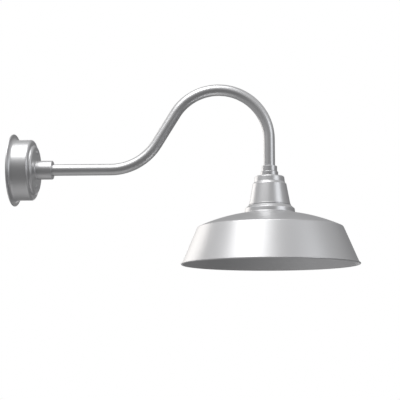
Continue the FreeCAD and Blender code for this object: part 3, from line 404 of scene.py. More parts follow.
class Tree:
    """A node tree that is filled by calls."""

    def __init__(self, tree: bpy.types.NodeTree) -> None:
        """Starts on an emptied tree."""
        tree.nodes.clear()
        self.tree = tree

    def node(
        self,
        kind: str,
        settings: dict[str, object] | None = None,
        sockets: dict[int | str, object] | None = None,
        output: int | str = 0,
    ) -> Signal:
        """Adds one node.

        Args:
            kind: The node's type.
            settings: Its own settings, which are set first; "stops" fills a ramp.
            sockets: Values or signals by the input's name or number.
            output: The output that is returned.

        Returns:
            The chosen output.
        """
        node = self.tree.nodes.new(kind)
        for key, value in (settings or {}).items():
            if key == "stops":
                self._fill_ramp(node.color_ramp, value)
            else:
                setattr(node, key, value)
        for key, value in (sockets or {}).items():
            if isinstance(value, Signal):
                self.tree.links.new(value.socket, node.inputs[key])
            else:
                node.inputs[key].default_value = value
        return Signal(self, node.outputs[output] if node.outputs else None)

    @staticmethod
    def _fill_ramp(ramp: bpy.types.ColorRamp, stops: Sequence[tuple[float, float]]) -> None:
        """Gives a ramp its grey stops, each a place and a level.

        Args:
            ramp: The ramp.
            stops: The place and the level of each stop.
        """
        while len(ramp.elements) < len(stops):
            ramp.elements.new(0.5)
        for element, (place, level) in zip(ramp.elements, stops):
            element.position = place
            element.color = (level, level, level, 1.0)

    def rise(self, value: object, start: float, end: float) -> Signal:
        """A smooth step.

        Args:
            value: The value that decides.
            start: Where the step leaves 0.
            end: Where it reaches 1.

        Returns:
            The step, 0 to 1.
        """
        return self.node(
            "ShaderNodeMapRange", {"interpolation_type": "SMOOTHSTEP"},
            {"Value": value, "From Min": start, "From Max": end, "To Min": 0.0, "To Max": 1.0},
        )

    def blend(self, share: object, first: object, second: object) -> Signal:
        """Mixes two colours.

        Args:
            share: How much of the second colour shows.
            first: The colour where the share is 0.
            second: The colour where the share is 1.

        Returns:
            The mixed colour.
        """
        return self.node(
            "ShaderNodeMix", {"data_type": "RGBA"}, {0: share, 6: first, 7: second}, output=2
        )


class Paint(Tree):
    """The tree of one material, on the piece's own coordinates."""

    def __init__(self, name: str) -> None:
        """Makes the material and empties its tree.

        Args:
            name: The material\'s name.
        """
        self.material = bpy.data.materials.new(name)
        self.material.use_nodes = True
        super().__init__(self.material.node_tree)
        self.place = self.node("ShaderNodeTexCoord", output="Object")

    def noise(self, size: float, detail: float = 2.0) -> Signal:
        """Soft random values from 0 to 1.

        Args:
            size: The width of one patch in millimetres.
            detail: How many finer layers lie on it.

        Returns:
            The values.
        """
        return self.node(
            "ShaderNodeTexNoise", {"noise_dimensions": "3D"},
            {"Vector": self.place, "Scale": 1.0 / (size * MM), "Detail": detail, "Roughness": 0.55},
        )

    def cells(self, size: float) -> Signal:
        """Distance to the nearest of scattered points, for pores and pebbles.

        Args:
            size: The width of one cell in millimetres.

        Returns:
            The distance, about 0 to 1.
        """
        return self.node(
            "ShaderNodeTexVoronoi", {"feature": "F1"},
            {"Vector": self.place, "Scale": 1.0 / (size * MM)},
        )

    def bump(self, height: Signal, depth: float) -> Signal:
        """Normals for a height pattern.

        Args:
            height: The pattern, from 0 to 1.
            depth: How deep it is, in millimetres.

        Returns:
            The normal.
        """
        return self.node(
            "ShaderNodeBump", {}, {"Strength": 1.0, "Distance": depth * MM, "Height": height}
        )

    def tint(self, share: Signal, colour: Colour, dark: float, light: float) -> Signal:
        """A colour that varies with a pattern between a darker and a lighter level of itself."""
        return self.blend(share, rgba(colour, dark), rgba(colour, light))

    def surface(self, sockets: dict[str, object]) -> bpy.types.Material:
        """Ends the tree in a Principled shader.

        Args:
            sockets: Values or signals by the shader's socket names.

        Returns:
            The finished material.
        """
        shader = self.node("ShaderNodeBsdfPrincipled", {}, sockets)
        self.node("ShaderNodeOutputMaterial", {}, {"Surface": shader})
        return self.material


def rgba(colour: Colour, level: float = 1.0) -> tuple[float, float, float, float]:
    """A colour as a socket wants it, made lighter or darker by a level."""
    return (*(min(1.0, part * level) for part in colour), 1.0)


# ------------------------------------------------------------------ finishes


class Finish:
    """A material that is built when a piece first asks for it."""

    def sockets(self, paint: Paint) -> dict[str, object]:
        """Fills a material's tree, and gives the inputs of its shader by name."""
        raise NotImplementedError

    def make(self, name: str) -> bpy.types.Material:
        """Builds the material.

        Args:
            name: The material's name.

        Returns:
            The material.
        """
        paint = Paint(name)
        return paint.surface(self.sockets(paint))


@dataclass(frozen=True)
class Metal(Finish):
    """Bare, plated or satin metal with a fine grain, and turning rings where it was spun."""

    colour: Colour
    roughness: float
    grain: float = 0.35
    depth: float = 0.002
    sheen_patch: float = 45.0
    sheen_change: float = 0.04
    tarnish: float = 0.03
    ring: float = 0.0

    def rings(self, paint: Paint) -> Signal:
        """Noise that changes out from the shade's axis and along it, as a lathe leaves it.

        Args:
            paint: The material's tree.

        Returns:
            The noise.
        """
        offset = paint.node(
            "ShaderNodeVectorMath", {"operation": "SUBTRACT"},
            {0: paint.place, 1: (SHADE_AXIS * MM, 0.0, 0.0)},
        )
        flat = paint.node(
            "ShaderNodeVectorMath", {"operation": "MULTIPLY"}, {0: offset, 1: (1.0, 1.0, 0.0)}
        )
        out = paint.node("ShaderNodeVectorMath", {"operation": "LENGTH"}, {0: flat}, output=1)
        up = paint.node("ShaderNodeSeparateXYZ", {}, {0: offset}, output=2)
        along = paint.node("ShaderNodeCombineXYZ", {}, {0: out, 1: up, 2: 0.0})
        return paint.node(
            "ShaderNodeTexNoise", {"noise_dimensions": "2D"},
            {"Vector": along, "Scale": 1.0 / (self.ring * MM), "Detail": 3.0, "Roughness": 0.6},
        )

    def sockets(self, paint: Paint) -> dict[str, object]:
        """Sheen in patches, over grain and the rings of spinning.

        Args:
            paint: The material's tree.

        Returns:
            The shader's inputs by name.
        """
        patch = paint.noise(self.sheen_patch, 3.0)
        height = paint.noise(self.grain, 2.0)
        if self.ring:
            height = self.rings(paint) * 0.5 + height * 0.5
        return {
            "Base Color": paint.tint(patch, self.colour, 1.0 - self.tarnish, 1.0 + self.tarnish),
            "Metallic": 1.0,
            "Roughness": self.roughness + (patch - 0.5) * self.sheen_change,
            "Normal": paint.bump(height, self.depth),
        }


@dataclass(frozen=True)
class Moulded(Finish):
    """Moulded plastic or rubber with a pebbled skin."""

    colour: Colour
    roughness: float
    pebble: float = 0.6
    depth: float = 0.01
    coat: float = 0.0
    cloud: float = 0.05
    cloud_size: float = 18.0
    sheen_change: float = 0.08
    subsurface: float = 0.0

    def sockets(self, paint: Paint) -> dict[str, object]:
        """Soft clouds of colour and sheen over the pebbles.

        Args:
            paint: The material's tree.

        Returns:
            The shader's inputs by name.
        """
        cloud = paint.noise(self.cloud_size, 3.0)
        return {
            "Base Color": paint.tint(cloud, self.colour, 1.0 - self.cloud, 1.0 + self.cloud),
            "Roughness": self.roughness + (cloud - 0.5) * self.sheen_change,
            "Coat Weight": self.coat,
            "Subsurface Weight": self.subsurface,
            "Normal": paint.bump(paint.cells(self.pebble), self.depth),
        }


@dataclass(frozen=True)
class Foam(Finish):
    """Closed-cell foam, with open pores where it was cut."""

    colour: Colour
    pore: float = 0.9
    depth: float = 0.25
    roughness: float = 0.9

    def sockets(self, paint: Paint) -> dict[str, object]:
        """Painted shade darkens the pores' hollows in a paler skin.

        Args:
            paint: The material's tree.

        Returns:
            The shader's inputs by name.
        """
        pores = paint.cells(self.pore)
        # painted shade mask: 0 at the middle of each pore, where the bump is deepest, 1 on the skin
        # between
        skin = paint.node(
            "ShaderNodeValToRGB", {"stops": [(0.15, 0.0), (0.55, 1.0)]}, {"Fac": pores}
        )
        return {
            # the pores' painted shade takes the colour down to 0.45 of itself
            "Base Color": paint.tint(skin, self.colour, 0.45, 1.2),
            "Roughness": self.roughness,
            "Normal": paint.bump(pores, self.depth),
        }


@dataclass(frozen=True)
class Glazed(Finish):
    """Glazed porcelain: a wavy clear glaze over a lightly specked body."""

    colour: Colour
    speck_colour: Colour = (0.45, 0.38, 0.28)
    speck: float = 0.8
    wave: float = 3.0
    cloud: float = 9.0
    depth: float = 0.03

    def sockets(self, paint: Paint) -> dict[str, object]:
        """Clouds and specks under the waves of the glaze.

        Args:
            paint: The material's tree.

        Returns:
            The shader's inputs by name.
        """
        cloud = paint.noise(self.cloud, 3.0)
        specks = paint.node(
            "ShaderNodeValToRGB", {"stops": [(0.7, 0.0), (0.78, 1.0)]},
            {"Fac": paint.noise(self.speck, 0.0)},
        )
        body = paint.tint(cloud, self.colour, 0.97, 1.02)
        return {
            "Base Color": paint.blend(specks * 0.35, body, rgba(self.speck_colour)),
            "Roughness": 0.16 + cloud * 0.08,
            "Coat Weight": 0.6,
            "Normal": paint.bump(paint.noise(self.wave, 1.0), self.depth),
        }


SILVER: Colour = (0.72, 0.72, 0.725)

FINISHES: dict[str, Finish] = {
    "satin_silver": Metal(SILVER, 0.36, depth=0.0006),
    "satin_silver_spun": Metal(
        SILVER, 0.39, depth=0.0012, sheen_patch=60.0, tarnish=0.02, ring=1.6
    ),
    "satin_silver_screws": Metal(SILVER, 0.3, grain=0.2),
    "foam": Foam((0.05, 0.05, 0.052)),
    "zinc_steel": Metal((0.62, 0.61, 0.58), 0.38, sheen_patch=9.0, sheen_change=0.18, tarnish=0.1),
    "green_screw": Metal((0.1, 0.38, 0.15), 0.35, sheen_patch=4.0),
    "tinned_copper": Metal((0.72, 0.68, 0.62), 0.32, sheen_patch=5.0, tarnish=0.08),
    "green_insulation": Moulded((0.03, 0.28, 0.07), 0.45),
    "black_steel": Metal((0.06, 0.06, 0.063), 0.45, tarnish=0.15),
    "nylon": Moulded((0.78, 0.77, 0.71), 0.4, subsurface=0.1),
    "black_insulation": Moulded((0.02, 0.02, 0.021), 0.42),
    "white_insulation": Moulded((0.78, 0.78, 0.76), 0.42),
    "connector_plastic": Moulded((0.75, 0.2, 0.03), 0.35, coat=0.2),
    "gasket_rubber": Moulded((0.035, 0.035, 0.036), 0.7, pebble=0.4, depth=0.02),
    "steel_screws": Metal((0.62, 0.62, 0.62), 0.26, sheen_patch=3.0),
    "porcelain": Glazed((0.84, 0.83, 0.79)),
    "nickel_brass": Metal((0.72, 0.68, 0.58), 0.2, sheen_patch=8.0, tarnish=0.07),
    "brass": Metal((0.76, 0.58, 0.28), 0.26, sheen_patch=4.0, tarnish=0.1),
    "black_glass": Moulded((0.015, 0.015, 0.017), 0.12, pebble=2.0, depth=0.004, coat=0.8),
    "nickel_cap": Metal((0.74, 0.73, 0.7), 0.24, sheen_patch=7.0, tarnish=0.06),
    "white_plastic": Moulded((0.84, 0.84, 0.83), 0.38, depth=0.006),
    "board_white": Moulded((0.82, 0.82, 0.8), 0.5, pebble=0.3),
    "led_yellow": Moulded((0.86, 0.7, 0.16), 0.4, pebble=0.2),
    "opal_diffuser": Moulded((0.93, 0.93, 0.91), 0.32, depth=0.003, cloud=0.02, subsurface=0.25),
}


class Wardrobe:
    """Makes each finish once and hands it out by its name."""

    def __init__(self) -> None:
        """Starts with nothing made."""
        self.made: dict[str, bpy.types.Material] = {}

    def material(self, name: str) -> bpy.types.Material:
        """The material of a finish.

        Args:
            name: A slot of the record, or a variant of one.

        Returns:
            The material, built when it is first asked for.
        """
        if name not in self.made:
            self.made[name] = FINISHES[name].make(name)
        return self.made[name]

    def dress_solids(self, frame: dict[str, object]) -> None:
        """Gives every solid of the frame its finish.
        """
        for subpart in frame["record"]["subparts"]:
            node = frame["nodes"][subpart["node"]]
            material = self.material(subpart["material_slot"])
            if not node.material_slots:
                node.data.materials.append(material)
            for place in node.material_slots:
                place.material = material
            LOG.info("solid %s: %s", subpart["node"], subpart["material_slot"])


class Assembly:
    """Pieces that are drawn in place of their solids, all on one body."""

    body = "fixture"

    def pieces(self, wardrobe: Wardrobe) -> Pieces:
        """Builds the pieces, and gives each with its finish and the solid it stands for."""
        raise NotImplementedError

    def dress(self, wardrobe: Wardrobe) -> None:
        """Builds the pieces and puts them in place of their solids.

        Args:
            wardrobe: Where the finishes come from.
        """
        for piece, finish, node in self.pieces(wardrobe):
            piece.data.materials.clear()
            piece.data.materials.append(wardrobe.material(finish))
            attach(piece, self.body)
            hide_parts(node)
            LOG.info("piece %s: %d faces, for %s", piece.name, len(piece.data.polygons), node)


# ------------------------------------------------------------------ geometry trees


class Maker(Tree):
    """A Geometry Nodes tree with named inputs, which ends in real geometry and a material."""

    def __init__(self, name: str) -> None:
        """Makes the tree, with its geometry in and out.

        Args:
            name: The tree\'s name.
        """
        self.group = bpy.data.node_groups.new(name, "GeometryNodeTree")
        super().__init__(self.group)
        self.group.interface.new_socket("Geometry", in_out="OUTPUT", socket_type="NodeSocketGeometry")
        self.input("Geometry", "NodeSocketGeometry")
        self.source = self.group.nodes.new("NodeGroupInput")

    def input(self, name: str, kind: str) -> None:
        """Adds a named input to the tree's interface."""
        self.group.interface.new_socket(name, in_out="INPUT", socket_type=kind)

    def given(self, name: str) -> Signal:
        """The value of a named input."""
        return Signal(self, self.source.outputs[name])

    def finish(self, geometry: Signal) -> None:
        """Ends the tree.

        Args:
            geometry: What the tree has made.
        """
        real = self.node("GeometryNodeRealizeInstances", {}, {"Geometry": geometry})
        smooth = self.node("GeometryNodeSetShadeSmooth", {}, {"Geometry": real})
        dressed = self.node(
            "GeometryNodeSetMaterial", {}, {"Geometry": smooth, "Material": self.given("Finish")}
        )
        self.node("NodeGroupOutput", {}, {"Geometry": dressed})

    def apply(self, piece: bpy.types.Object, values: dict[str, object]) -> None:
        """Puts the tree on an object.

        Args:
            piece: The object.
            values: The value of each named input.
        """
        step = piece.modifiers.new(self.group.name, "NODES")
        step.node_group = self.group
        for item in self.group.interface.items_tree:
            if item.in_out == "INPUT" and item.name in values:
                step[item.identifier] = values[item.name]


def tube_maker() -> Maker:
    """A tree that sweeps a round tube along the mesh line that it is put on.

    Returns:
        The tree.
    """
    maker = Maker("tube_along_route")
    maker.input("Radius", "NodeSocketFloat")
    maker.input("Sides", "NodeSocketInt")
    maker.input("Finish", "NodeSocketMaterial")
    route = maker.node("GeometryNodeMeshToCurve", {}, {"Mesh": maker.given("Geometry")})
    ring = maker.node(
        "GeometryNodeCurvePrimitiveCircle", {"mode": "RADIUS"},
        {"Resolution": maker.given("Sides"), "Radius": maker.given("Radius")},
    )
    swept = maker.node("GeometryNodeCurveToMesh", {}, {"Curve": route, "Profile Curve": ring})
    maker.finish(swept)
    return maker


class Recess(Enum):
    """What a driver fits into, in a screw's head."""

    CROSS = "cross"
    HEX = "hex"


def screw_maker(recess: Recess) -> Maker:
    """A tree that cuts a recess in the screw that it is put on, and sets it round a circle.

    Args:
        recess: The shape of the recess.

    Returns:
        The tree.
    """
    maker = Maker(f"screws_with_{recess.value}")
    for name in ("Recess width", "Recess length", "Recess depth", "Head top", "Circle", "Start"):
        maker.input(name, "NodeSocketFloat")
    maker.input("Count", "NodeSocketInt")
    maker.input("Centre", "NodeSocketVector")
    maker.input("Turn", "NodeSocketVector")
    maker.input("Finish", "NodeSocketMaterial")
    width, length = maker.given("Recess width"), maker.given("Recess length")
    depth, top = maker.given("Recess depth"), maker.given("Head top")
    if recess is Recess.CROSS:
        tools = []
        for size in ((length, width, depth * 2), (width, length, depth * 2)):
            bar = maker.node("ShaderNodeCombineXYZ", {}, dict(enumerate(size)))
            tools.append(maker.node("GeometryNodeMeshCube", {}, {"Size": bar}))
    else:
        tools = [maker.node(
            "GeometryNodeMeshCylinder", {},
            {"Vertices": 6, "Radius": length * 0.5, "Depth": depth * 2},
        )]
    at_top = maker.node("ShaderNodeCombineXYZ", {}, {2: top})
    screw = maker.given("Geometry")
    for tool in tools:
        placed = maker.node(
            "GeometryNodeTransform", {}, {"Geometry": tool, "Translation": at_top}
        )
        screw = maker.node(
            "GeometryNodeMeshBoolean", {"operation": "DIFFERENCE", "solver": "EXACT"},
            {0: screw, 1: placed},
        )
    count, circle = maker.given("Count"), maker.given("Circle")
    line = maker.node(
        "GeometryNodeMeshLine", {"mode": "OFFSET"}, {"Count": count, "Offset": (0.0, 0.0, 0.0)}
    )
    angle = maker.node("GeometryNodeInputIndex") * math.tau / count + maker.given("Start")
    across = maker.node("ShaderNodeMath", {"operation": "COSINE"}, {0: angle}) * circle
    up = maker.node("ShaderNodeMath", {"operation": "SINE"}, {0: angle}) * circle
    spot = maker.node("ShaderNodeCombineXYZ", {}, {0: across, 1: up})
    spaced = maker.node("GeometryNodeSetPosition", {}, {"Geometry": line, "Position": spot})
    ring = maker.node("GeometryNodeInstanceOnPoints", {}, {"Points": spaced, "Instance": screw})
    placed = maker.node(
        "GeometryNodeTransform", {},
        {"Geometry": ring, "Translation": maker.given("Centre"), "Rotation": maker.given("Turn")},
    )
    maker.finish(placed)
    return maker


# ------------------------------------------------------------------ the light's own pieces


@dataclass
class Screws:
    """A ring of alike screws, each drawn upright with its seat at height zero."""

    shank: float
    head: float
    height: float
    reach: float
    circle: float
    count: int
    start: float
    recess: Recess
    recess_size: tuple[float, float, float]
    crown: float = 0.0
    sides: int = 40

    def build(
        self, name: str, centre: Vector, turn: tuple[float, float, float],
        finish: bpy.types.Material,
    ) -> bpy.types.Object:
        """Makes one screw and lets the tree set the ring.

        Args:
            name: The piece's name.
            centre: The circle's middle at the seat, in millimetres.
            turn: The rotation that turns local Z to the way that the heads face.
            finish: The screws' material.

        Returns:
            The screws as one plain mesh.
        """
        edge, bevel = 0.7, 0.4
        top = self.height - (self.crown or edge)
        corners: list[Corner] = [
            (0, -self.reach), (self.shank - bevel, -self.reach),
            (self.shank, -self.reach + bevel), (self.shank, 0), (self.head, 0),
        ]
        if self.crown:
            dome = (self.head**2 + self.crown**2) / (2 * self.crown)
            corners += [(self.head, top, dome), (0, self.height)]
        else:
            corners += [(self.head, top, edge), (self.head - edge, self.height), (0, self.height)]
        screw = turned(name, corners, Axis.OWN, self.sides)
        width, length, depth = (size * MM for size in self.recess_size)
        screw_maker(self.recess).apply(screw, {
            "Recess width": width, "Recess length": length, "Recess depth": depth,
            "Head top": self.height * MM, "Circle": self.circle * MM, "Start": self.start,
            "Count": self.count, "Centre": tuple(centre * MM), "Turn": turn, "Finish": finish,
        })
        return settle(screw, 28.0)


@dataclass
class Canopy(Assembly):
    """The pressed canopy on the wall, with its two screws and the hub."""

    wall: float = 1.6
    flange_radius: float = 73.6
    flange_depth: float = 2.6
    rim_edge: float = 1.2
    root: float = 6.0
    drum_radius: float = 61.9
    drum_end: float = 36.0
    drum_edge: float = 5.0
    disc_foot: float = 50.8
    disc_round: float = 5.6
    spigot_gap: float = 0.2
    hub_radius: float = 19.2
    hub_end: float = 80.0
    hub_seat: float = 50.0
    hub_chamfer: float = 1.3
    hub_root: float = 1.6
    spigot_reach: float = 12.6
    screw_spacing: float = 69.8
    grub_place: float = 68.0
    grub_radius: float = 2.5
    sides: int = 144

    @property
    def front(self) -> float:
        """The face that the hub stands on, from the wall."""
        return self.drum_end + self.drum_edge + self.disc_round

    def shell(self) -> bpy.types.Object:
        """The flange, drum and raised disc, turned in one section.

        Returns:
            The pressing.
        """
        ledge = self.drum_end + self.drum_edge
        flat = self.disc_foot - self.disc_round
        root_end = self.flange_depth + self.root
        back = self.front - self.wall
        bead = 0.35
        return turned(
            "canopy_pressing",
            [
                (0.0, self.flange_radius - bead, -bead), (bead, self.flange_radius),
                (self.flange_depth - self.rim_edge, self.flange_radius, -self.rim_edge),
                (self.flange_depth, self.flange_radius - self.rim_edge),
                (self.flange_depth, self.drum_radius + self.root, self.root),
                (root_end, self.drum_radius),
                (self.drum_end, self.drum_radius, -self.drum_edge),
                (ledge, self.drum_radius - self.drum_edge),
                (ledge, self.disc_foot, -self.disc_round),
                (self.front, flat),
                (self.front, SPIGOT + self.spigot_gap),
                (back, SPIGOT + self.spigot_gap),
                (back, flat, self.disc_round - self.wall),
                (ledge, self.disc_foot - self.wall),
                (ledge - self.wall, self.disc_foot - self.wall),
                (ledge - self.wall, self.drum_radius - self.drum_edge, self.drum_edge - self.wall),
                (self.drum_end, self.drum_radius - self.wall),
                (root_end, self.drum_radius - self.wall, -(self.root + self.wall)),
                (self.flange_depth - self.wall, self.drum_radius + self.root),
                (self.flange_depth - self.wall, self.flange_radius - self.wall),
                (0.0, self.flange_radius - self.wall),
            ],
            Axis.WALL,
            self.sides,
        )

    def hub(self) -> bpy.types.Object:
        """The collar that the arm comes out of, with its grub screw's hole.

        Returns:
            The collar.
        """
        back = self.front - self.wall - self.spigot_reach
        soft = 0.35
        collar = turned(
            "hub_collar",
            [
                (back, SPIGOT_BORE),
                (self.hub_seat, SPIGOT_BORE),
                (self.hub_seat, TUBE_HOLE),
                (self.hub_end - soft, TUBE_HOLE, -soft),
                (self.hub_end, TUBE_HOLE + soft),
                (self.hub_end, self.hub_radius - self.hub_chamfer, self.hub_chamfer),
                (self.hub_end - self.hub_chamfer, self.hub_radius),
                (self.front + self.hub_root, self.hub_radius, -self.hub_root),
                (self.front, self.hub_radius + self.hub_root),
                (self.front, SPIGOT),
                (back + SPIGOT_EDGE, SPIGOT),
                (back, SPIGOT - SPIGOT_EDGE),
            ],
            Axis.WALL,
            96,
        )
        middle = Vector((self.grub_place, 0.0, 0.0))
        return drill(collar, self.grub_radius, middle, self.hub_radius)

    def screws(self, finish: bpy.types.Material) -> bpy.types.Object:
        """The two truss-head screws on the raised disc.

        Args:
            finish: The screws' material.

        Returns:
            The screws as one plain mesh.
        """
        ring = Screws(
            shank=2.1, head=4.7, height=2.4, reach=self.front - 0.6, crown=1.7,
            circle=self.screw_spacing / 2, count=2, start=0.0,
            recess=Recess.CROSS, recess_size=(1.0, 4.4, 1.1),
        )
        centre = Vector((self.front, 0.0, 0.0))
        return ring.build("canopy_screw_pair", centre, (0.0, math.pi / 2, 0.0), finish)

    def pieces(self, wardrobe: Wardrobe) -> Pieces:
        """The shell, the hub and the two screws.

        Args:
            wardrobe: Where the finishes come from.

        Returns:
            Each piece with its finish and its solid.
        """
        yield self.shell(), "satin_silver", "canopy_shell"
        yield self.hub(), "satin_silver", "canopy_hub"
        finish = "satin_silver_screws"
        yield self.screws(wardrobe.material(finish)), finish, "canopy_screws"


@dataclass
class Gooseneck(Assembly):
    """The bent tube: level, up, over and down to the coupling."""

    radius: float = 11.68
    wall: float = 1.25
    start: float = 50.0
    level_end: float = 199.0
    up_bend: float = 108.4
    climb: float = 58.5
    over_bend: float = 103.0
    foot: float = -13.9
    sides: int = 64

    def route(self) -> list[Vector]:
        """Points of the centreline, close enough to look smooth.

        Returns:
            The points in metres, in order.
        """
        climb = math.radians(self.climb)
        foot_x = self.level_end + self.up_bend * math.tan(climb / 2)
        top_z = (SHADE_AXIS - foot_x) * math.tan(climb)
        over = math.radians(90.0) + climb
        slope = Vector((math.cos(climb), math.sin(climb)))
        up_back = self.up_bend * math.tan(climb / 2)
        over_back = self.over_bend * math.tan(over / 2)
        foot, top = Vector((foot_x, 0.0)), Vector((SHADE_AXIS, top_z))
        spots: list[Point] = [(self.start, 0.0), (self.level_end, 0.0)]
        up_end = foot + slope * up_back
        spots += arc(spots[-1], tuple(up_end), self.up_bend)
        over_start = top - slope * over_back
        spots.append(tuple(over_start))
        over_end = (SHADE_AXIS, top_z - over_back)
        spots += arc(tuple(over_start), over_end, -self.over_bend)
        spots.append((SHADE_AXIS, self.foot))
        return [Vector((x, 0.0, z)) * MM for x, z in spots]

    def tube(self, finish: bpy.types.Material) -> bpy.types.Object:
        """Sweeps the tube along its route and gives it its wall.

        Args:
            finish: The tube's material.

        Returns:
            The tube as one plain mesh.
        """
        spots = self.route()
        mesh = bpy.data.meshes.new("arm_tube")
        mesh.from_pydata(spots, [(step, step + 1) for step in range(len(spots) - 1)], [])
        tube = bpy.data.objects.new("arm_tube", mesh)
        bpy.context.scene.collection.objects.link(tube)
        tube_maker().apply(
            tube, {"Radius": self.radius * MM, "Sides": self.sides, "Finish": finish}
        )
        wall = tube.modifiers.new("wall", "SOLIDIFY")
        wall.thickness = self.wall * MM
        wall.offset = -1.0
        return settle(tube)

    def pieces(self, wardrobe: Wardrobe) -> Pieces:
        """The tube.

        Args:
            wardrobe: Where the finishes come from.

        Returns:
            Each piece with its finish and its solid.
        """
        yield self.tube(wardrobe.material("satin_silver")), "satin_silver", "gooseneck_arm"


@dataclass
class Neck(Assembly):
    """The coupling, its washer, the cast cup and the sloped band."""

    coupling_top: float = 4.0
    step: float = -7.4
    foot: float = -15.5
    small: float = 15.6
    large: float = 17.7
    edge: float = 1.0
    seat: float = 1.6
    spigot_reach: float = 6.4
    grub_place: float = -10.8
    grub_radius: float = 2.0
    neck_top: float = -17.0
    neck_wall: float = 3.0
    neck_bottom: float = -91.4
    cap: float = 29.8
    cap_edge: float = 3.4
    shoulder_top: float = -27.5
    shoulder: float = 34.2
    shoulder_foot: float = -35.1
    shoulder_round: float = 5.0
    side: float = 41.6
    foot_width: float = 1.8
    foot_drop: float = 3.2
    bead: float = -74.6
    band_top: float = -77.0
    band: float = 50.5
    crown: float = -92.4
    boss_place: float = 21.5
    boss_radius: float = 3.2
    lug_place: float = 34.0
    lug_radius: float = 4.6
    lug_height: float = 17.0
    bracket: float = -30.0
    sides: int = 128

    def coupling(self) -> bpy.types.Object:
        """The two-step collar on the arm's lower end, with its grub screw's hole.

        Returns:
            The collar.
        """
        seat = self.foot + self.seat
        spigot_end = self.neck_top - self.neck_wall - self.spigot_reach
        soft, groove = 0.3, 0.7
        collar = turned(
            "coupling_collar",
            [
                (TUBE_HOLE, self.coupling_top - soft, -soft),
                (TUBE_HOLE + soft, self.coupling_top),
                (self.small - self.edge, self.coupling_top, -self.edge),
                (self.small, self.coupling_top - self.edge),
                (self.small, self.step + groove, -groove),
                (self.small - groove, self.step),
                (self.large - self.edge, self.step, -self.edge),
                (self.large, self.step - self.edge),
                (self.large, self.foot + soft, -soft),
                (self.large - soft, self.foot),
                (SPIGOT, self.foot),
                (SPIGOT, spigot_end + SPIGOT_EDGE),
                (SPIGOT - SPIGOT_EDGE, spigot_end),
                (SPIGOT_BORE, spigot_end),
                (SPIGOT_BORE, seat),
                (TUBE_HOLE, seat),
            ],
            Axis.DROP,
            96,
        )
        middle = Vector((SHADE_AXIS, 0.0, self.grub_place))
        return drill(collar, self.grub_radius, middle, self.large)

    def washer(self) -> bpy.types.Object:
        """The soft washer, pressed to a slight bulge.

        Returns:
            The washer.
        """
        outer, inner, bulge = self.large - 0.9, SPIGOT + 0.05, 1.6
        return turned(
            "seal_washer",
            [(inner, self.neck_top), (outer, self.neck_top, bulge), (outer, self.foot),
             (inner, self.foot)],
            Axis.DROP,
            80,
        )

    def cup(self) -> bpy.types.Object:
        """The cast cup, with the bosses and lugs inside it.

        Returns:
            The cup.
        """
        bead = 1.1
        inner_top = self.neck_top - self.neck_wall
        flange_top = self.band_top - self.foot_drop
        flange = self.side + self.foot_width
        cap_foot = self.cap + 0.9
        cup = turned(
            "neck_cup",
            [
                (SPIGOT + 0.1, self.neck_top),
                (self.cap - self.cap_edge, self.neck_top, -self.cap_edge),
                (self.cap, self.neck_top - self.cap_edge),
                (cap_foot, self.shoulder_top, self.shoulder_round),
                ((cap_foot + self.shoulder) / 2, (self.shoulder_top + self.shoulder_foot) / 2,
                 -self.shoulder_round),
                (self.shoulder, self.shoulder_foot),
                (self.side - 0.4, self.bead + bead, -bead - 0.15),
                (self.side + 0.1, self.bead - bead),
                (self.side + 0.1, flange_top),
                (flange, flange_top),
                (flange, self.neck_bottom),
                (flange - 5.0, self.neck_bottom),
                (self.side - self.neck_wall - 0.4, self.bead),
                (self.shoulder - self.neck_wall - 0.2, self.shoulder_foot - 1.0),
                (cap_foot - self.neck_wall - 0.3, self.shoulder_top),
                (25.4, inner_top - 1.0, 1.0),
                (24.4, inner_top),
                (SPIGOT + 0.1, inner_top),
            ],
            Axis.DROP,
            self.sides,
        )
        bosses = [(side * self.boss_place, 0.0) for side in (1, -1)]
        lugs = []
        for step in range(3):
            angle = math.radians(90.0 + 120.0 * step)
            lugs.append((self.lug_place * math.cos(angle), self.lug_place * math.sin(angle)))
        added = []
        for spots, radius, low, high in (
            (bosses, self.boss_radius, self.bracket, inner_top + 0.5),
            (lugs, self.lug_radius, self.neck_bottom, self.neck_bottom + self.lug_height),
        ):
            for x, y in spots:
                start, end = (Vector((SHADE_AXIS + x, y, height)) for height in (low, high))
                added.append(rod("added", radius, start, end))
        carve(cup, added, Carve.TOGETHER)
        return cup

    def ring(self) -> bpy.types.Object:
        """The sloped band over the joint between cup and shade.

        Returns:
            The band.
        """
        lip = self.side + 0.4
        inner = self.side + 2.1
        top = self.band_top
        soft = 0.25
        return turned(
            "band_ring",
            [
                (lip, top, -soft - 0.2),
                (lip + 0.7, top + 0.3, -1.4),
                (lip + 1.5, top - 0.2),
                (self.band - 2.3, top - 4.7, -2.2),
                (self.band - 0.8, top - 6.4),
                (self.band, self.crown + 3.0, 3.4),
                (self.band + 1.4, self.crown),
                (inner, self.crown),
                (inner, top - 2.4),
                (lip, top - 1.6),
            ],
            Axis.DROP,
            self.sides,
        )

    def pieces(self, wardrobe: Wardrobe) -> Pieces:
        """The coupling, its washer, the cup and the band.

        Args:
            wardrobe: Not used.

        Returns:
            Each piece with its finish and its solid.
        """
        yield self.coupling(), "satin_silver", "neck_coupling"
        yield self.washer(), "gasket_rubber", "coupling_washer"
        yield self.cup(), "satin_silver", "neck_casting"
        yield self.ring(), "satin_silver", "fitter_band"


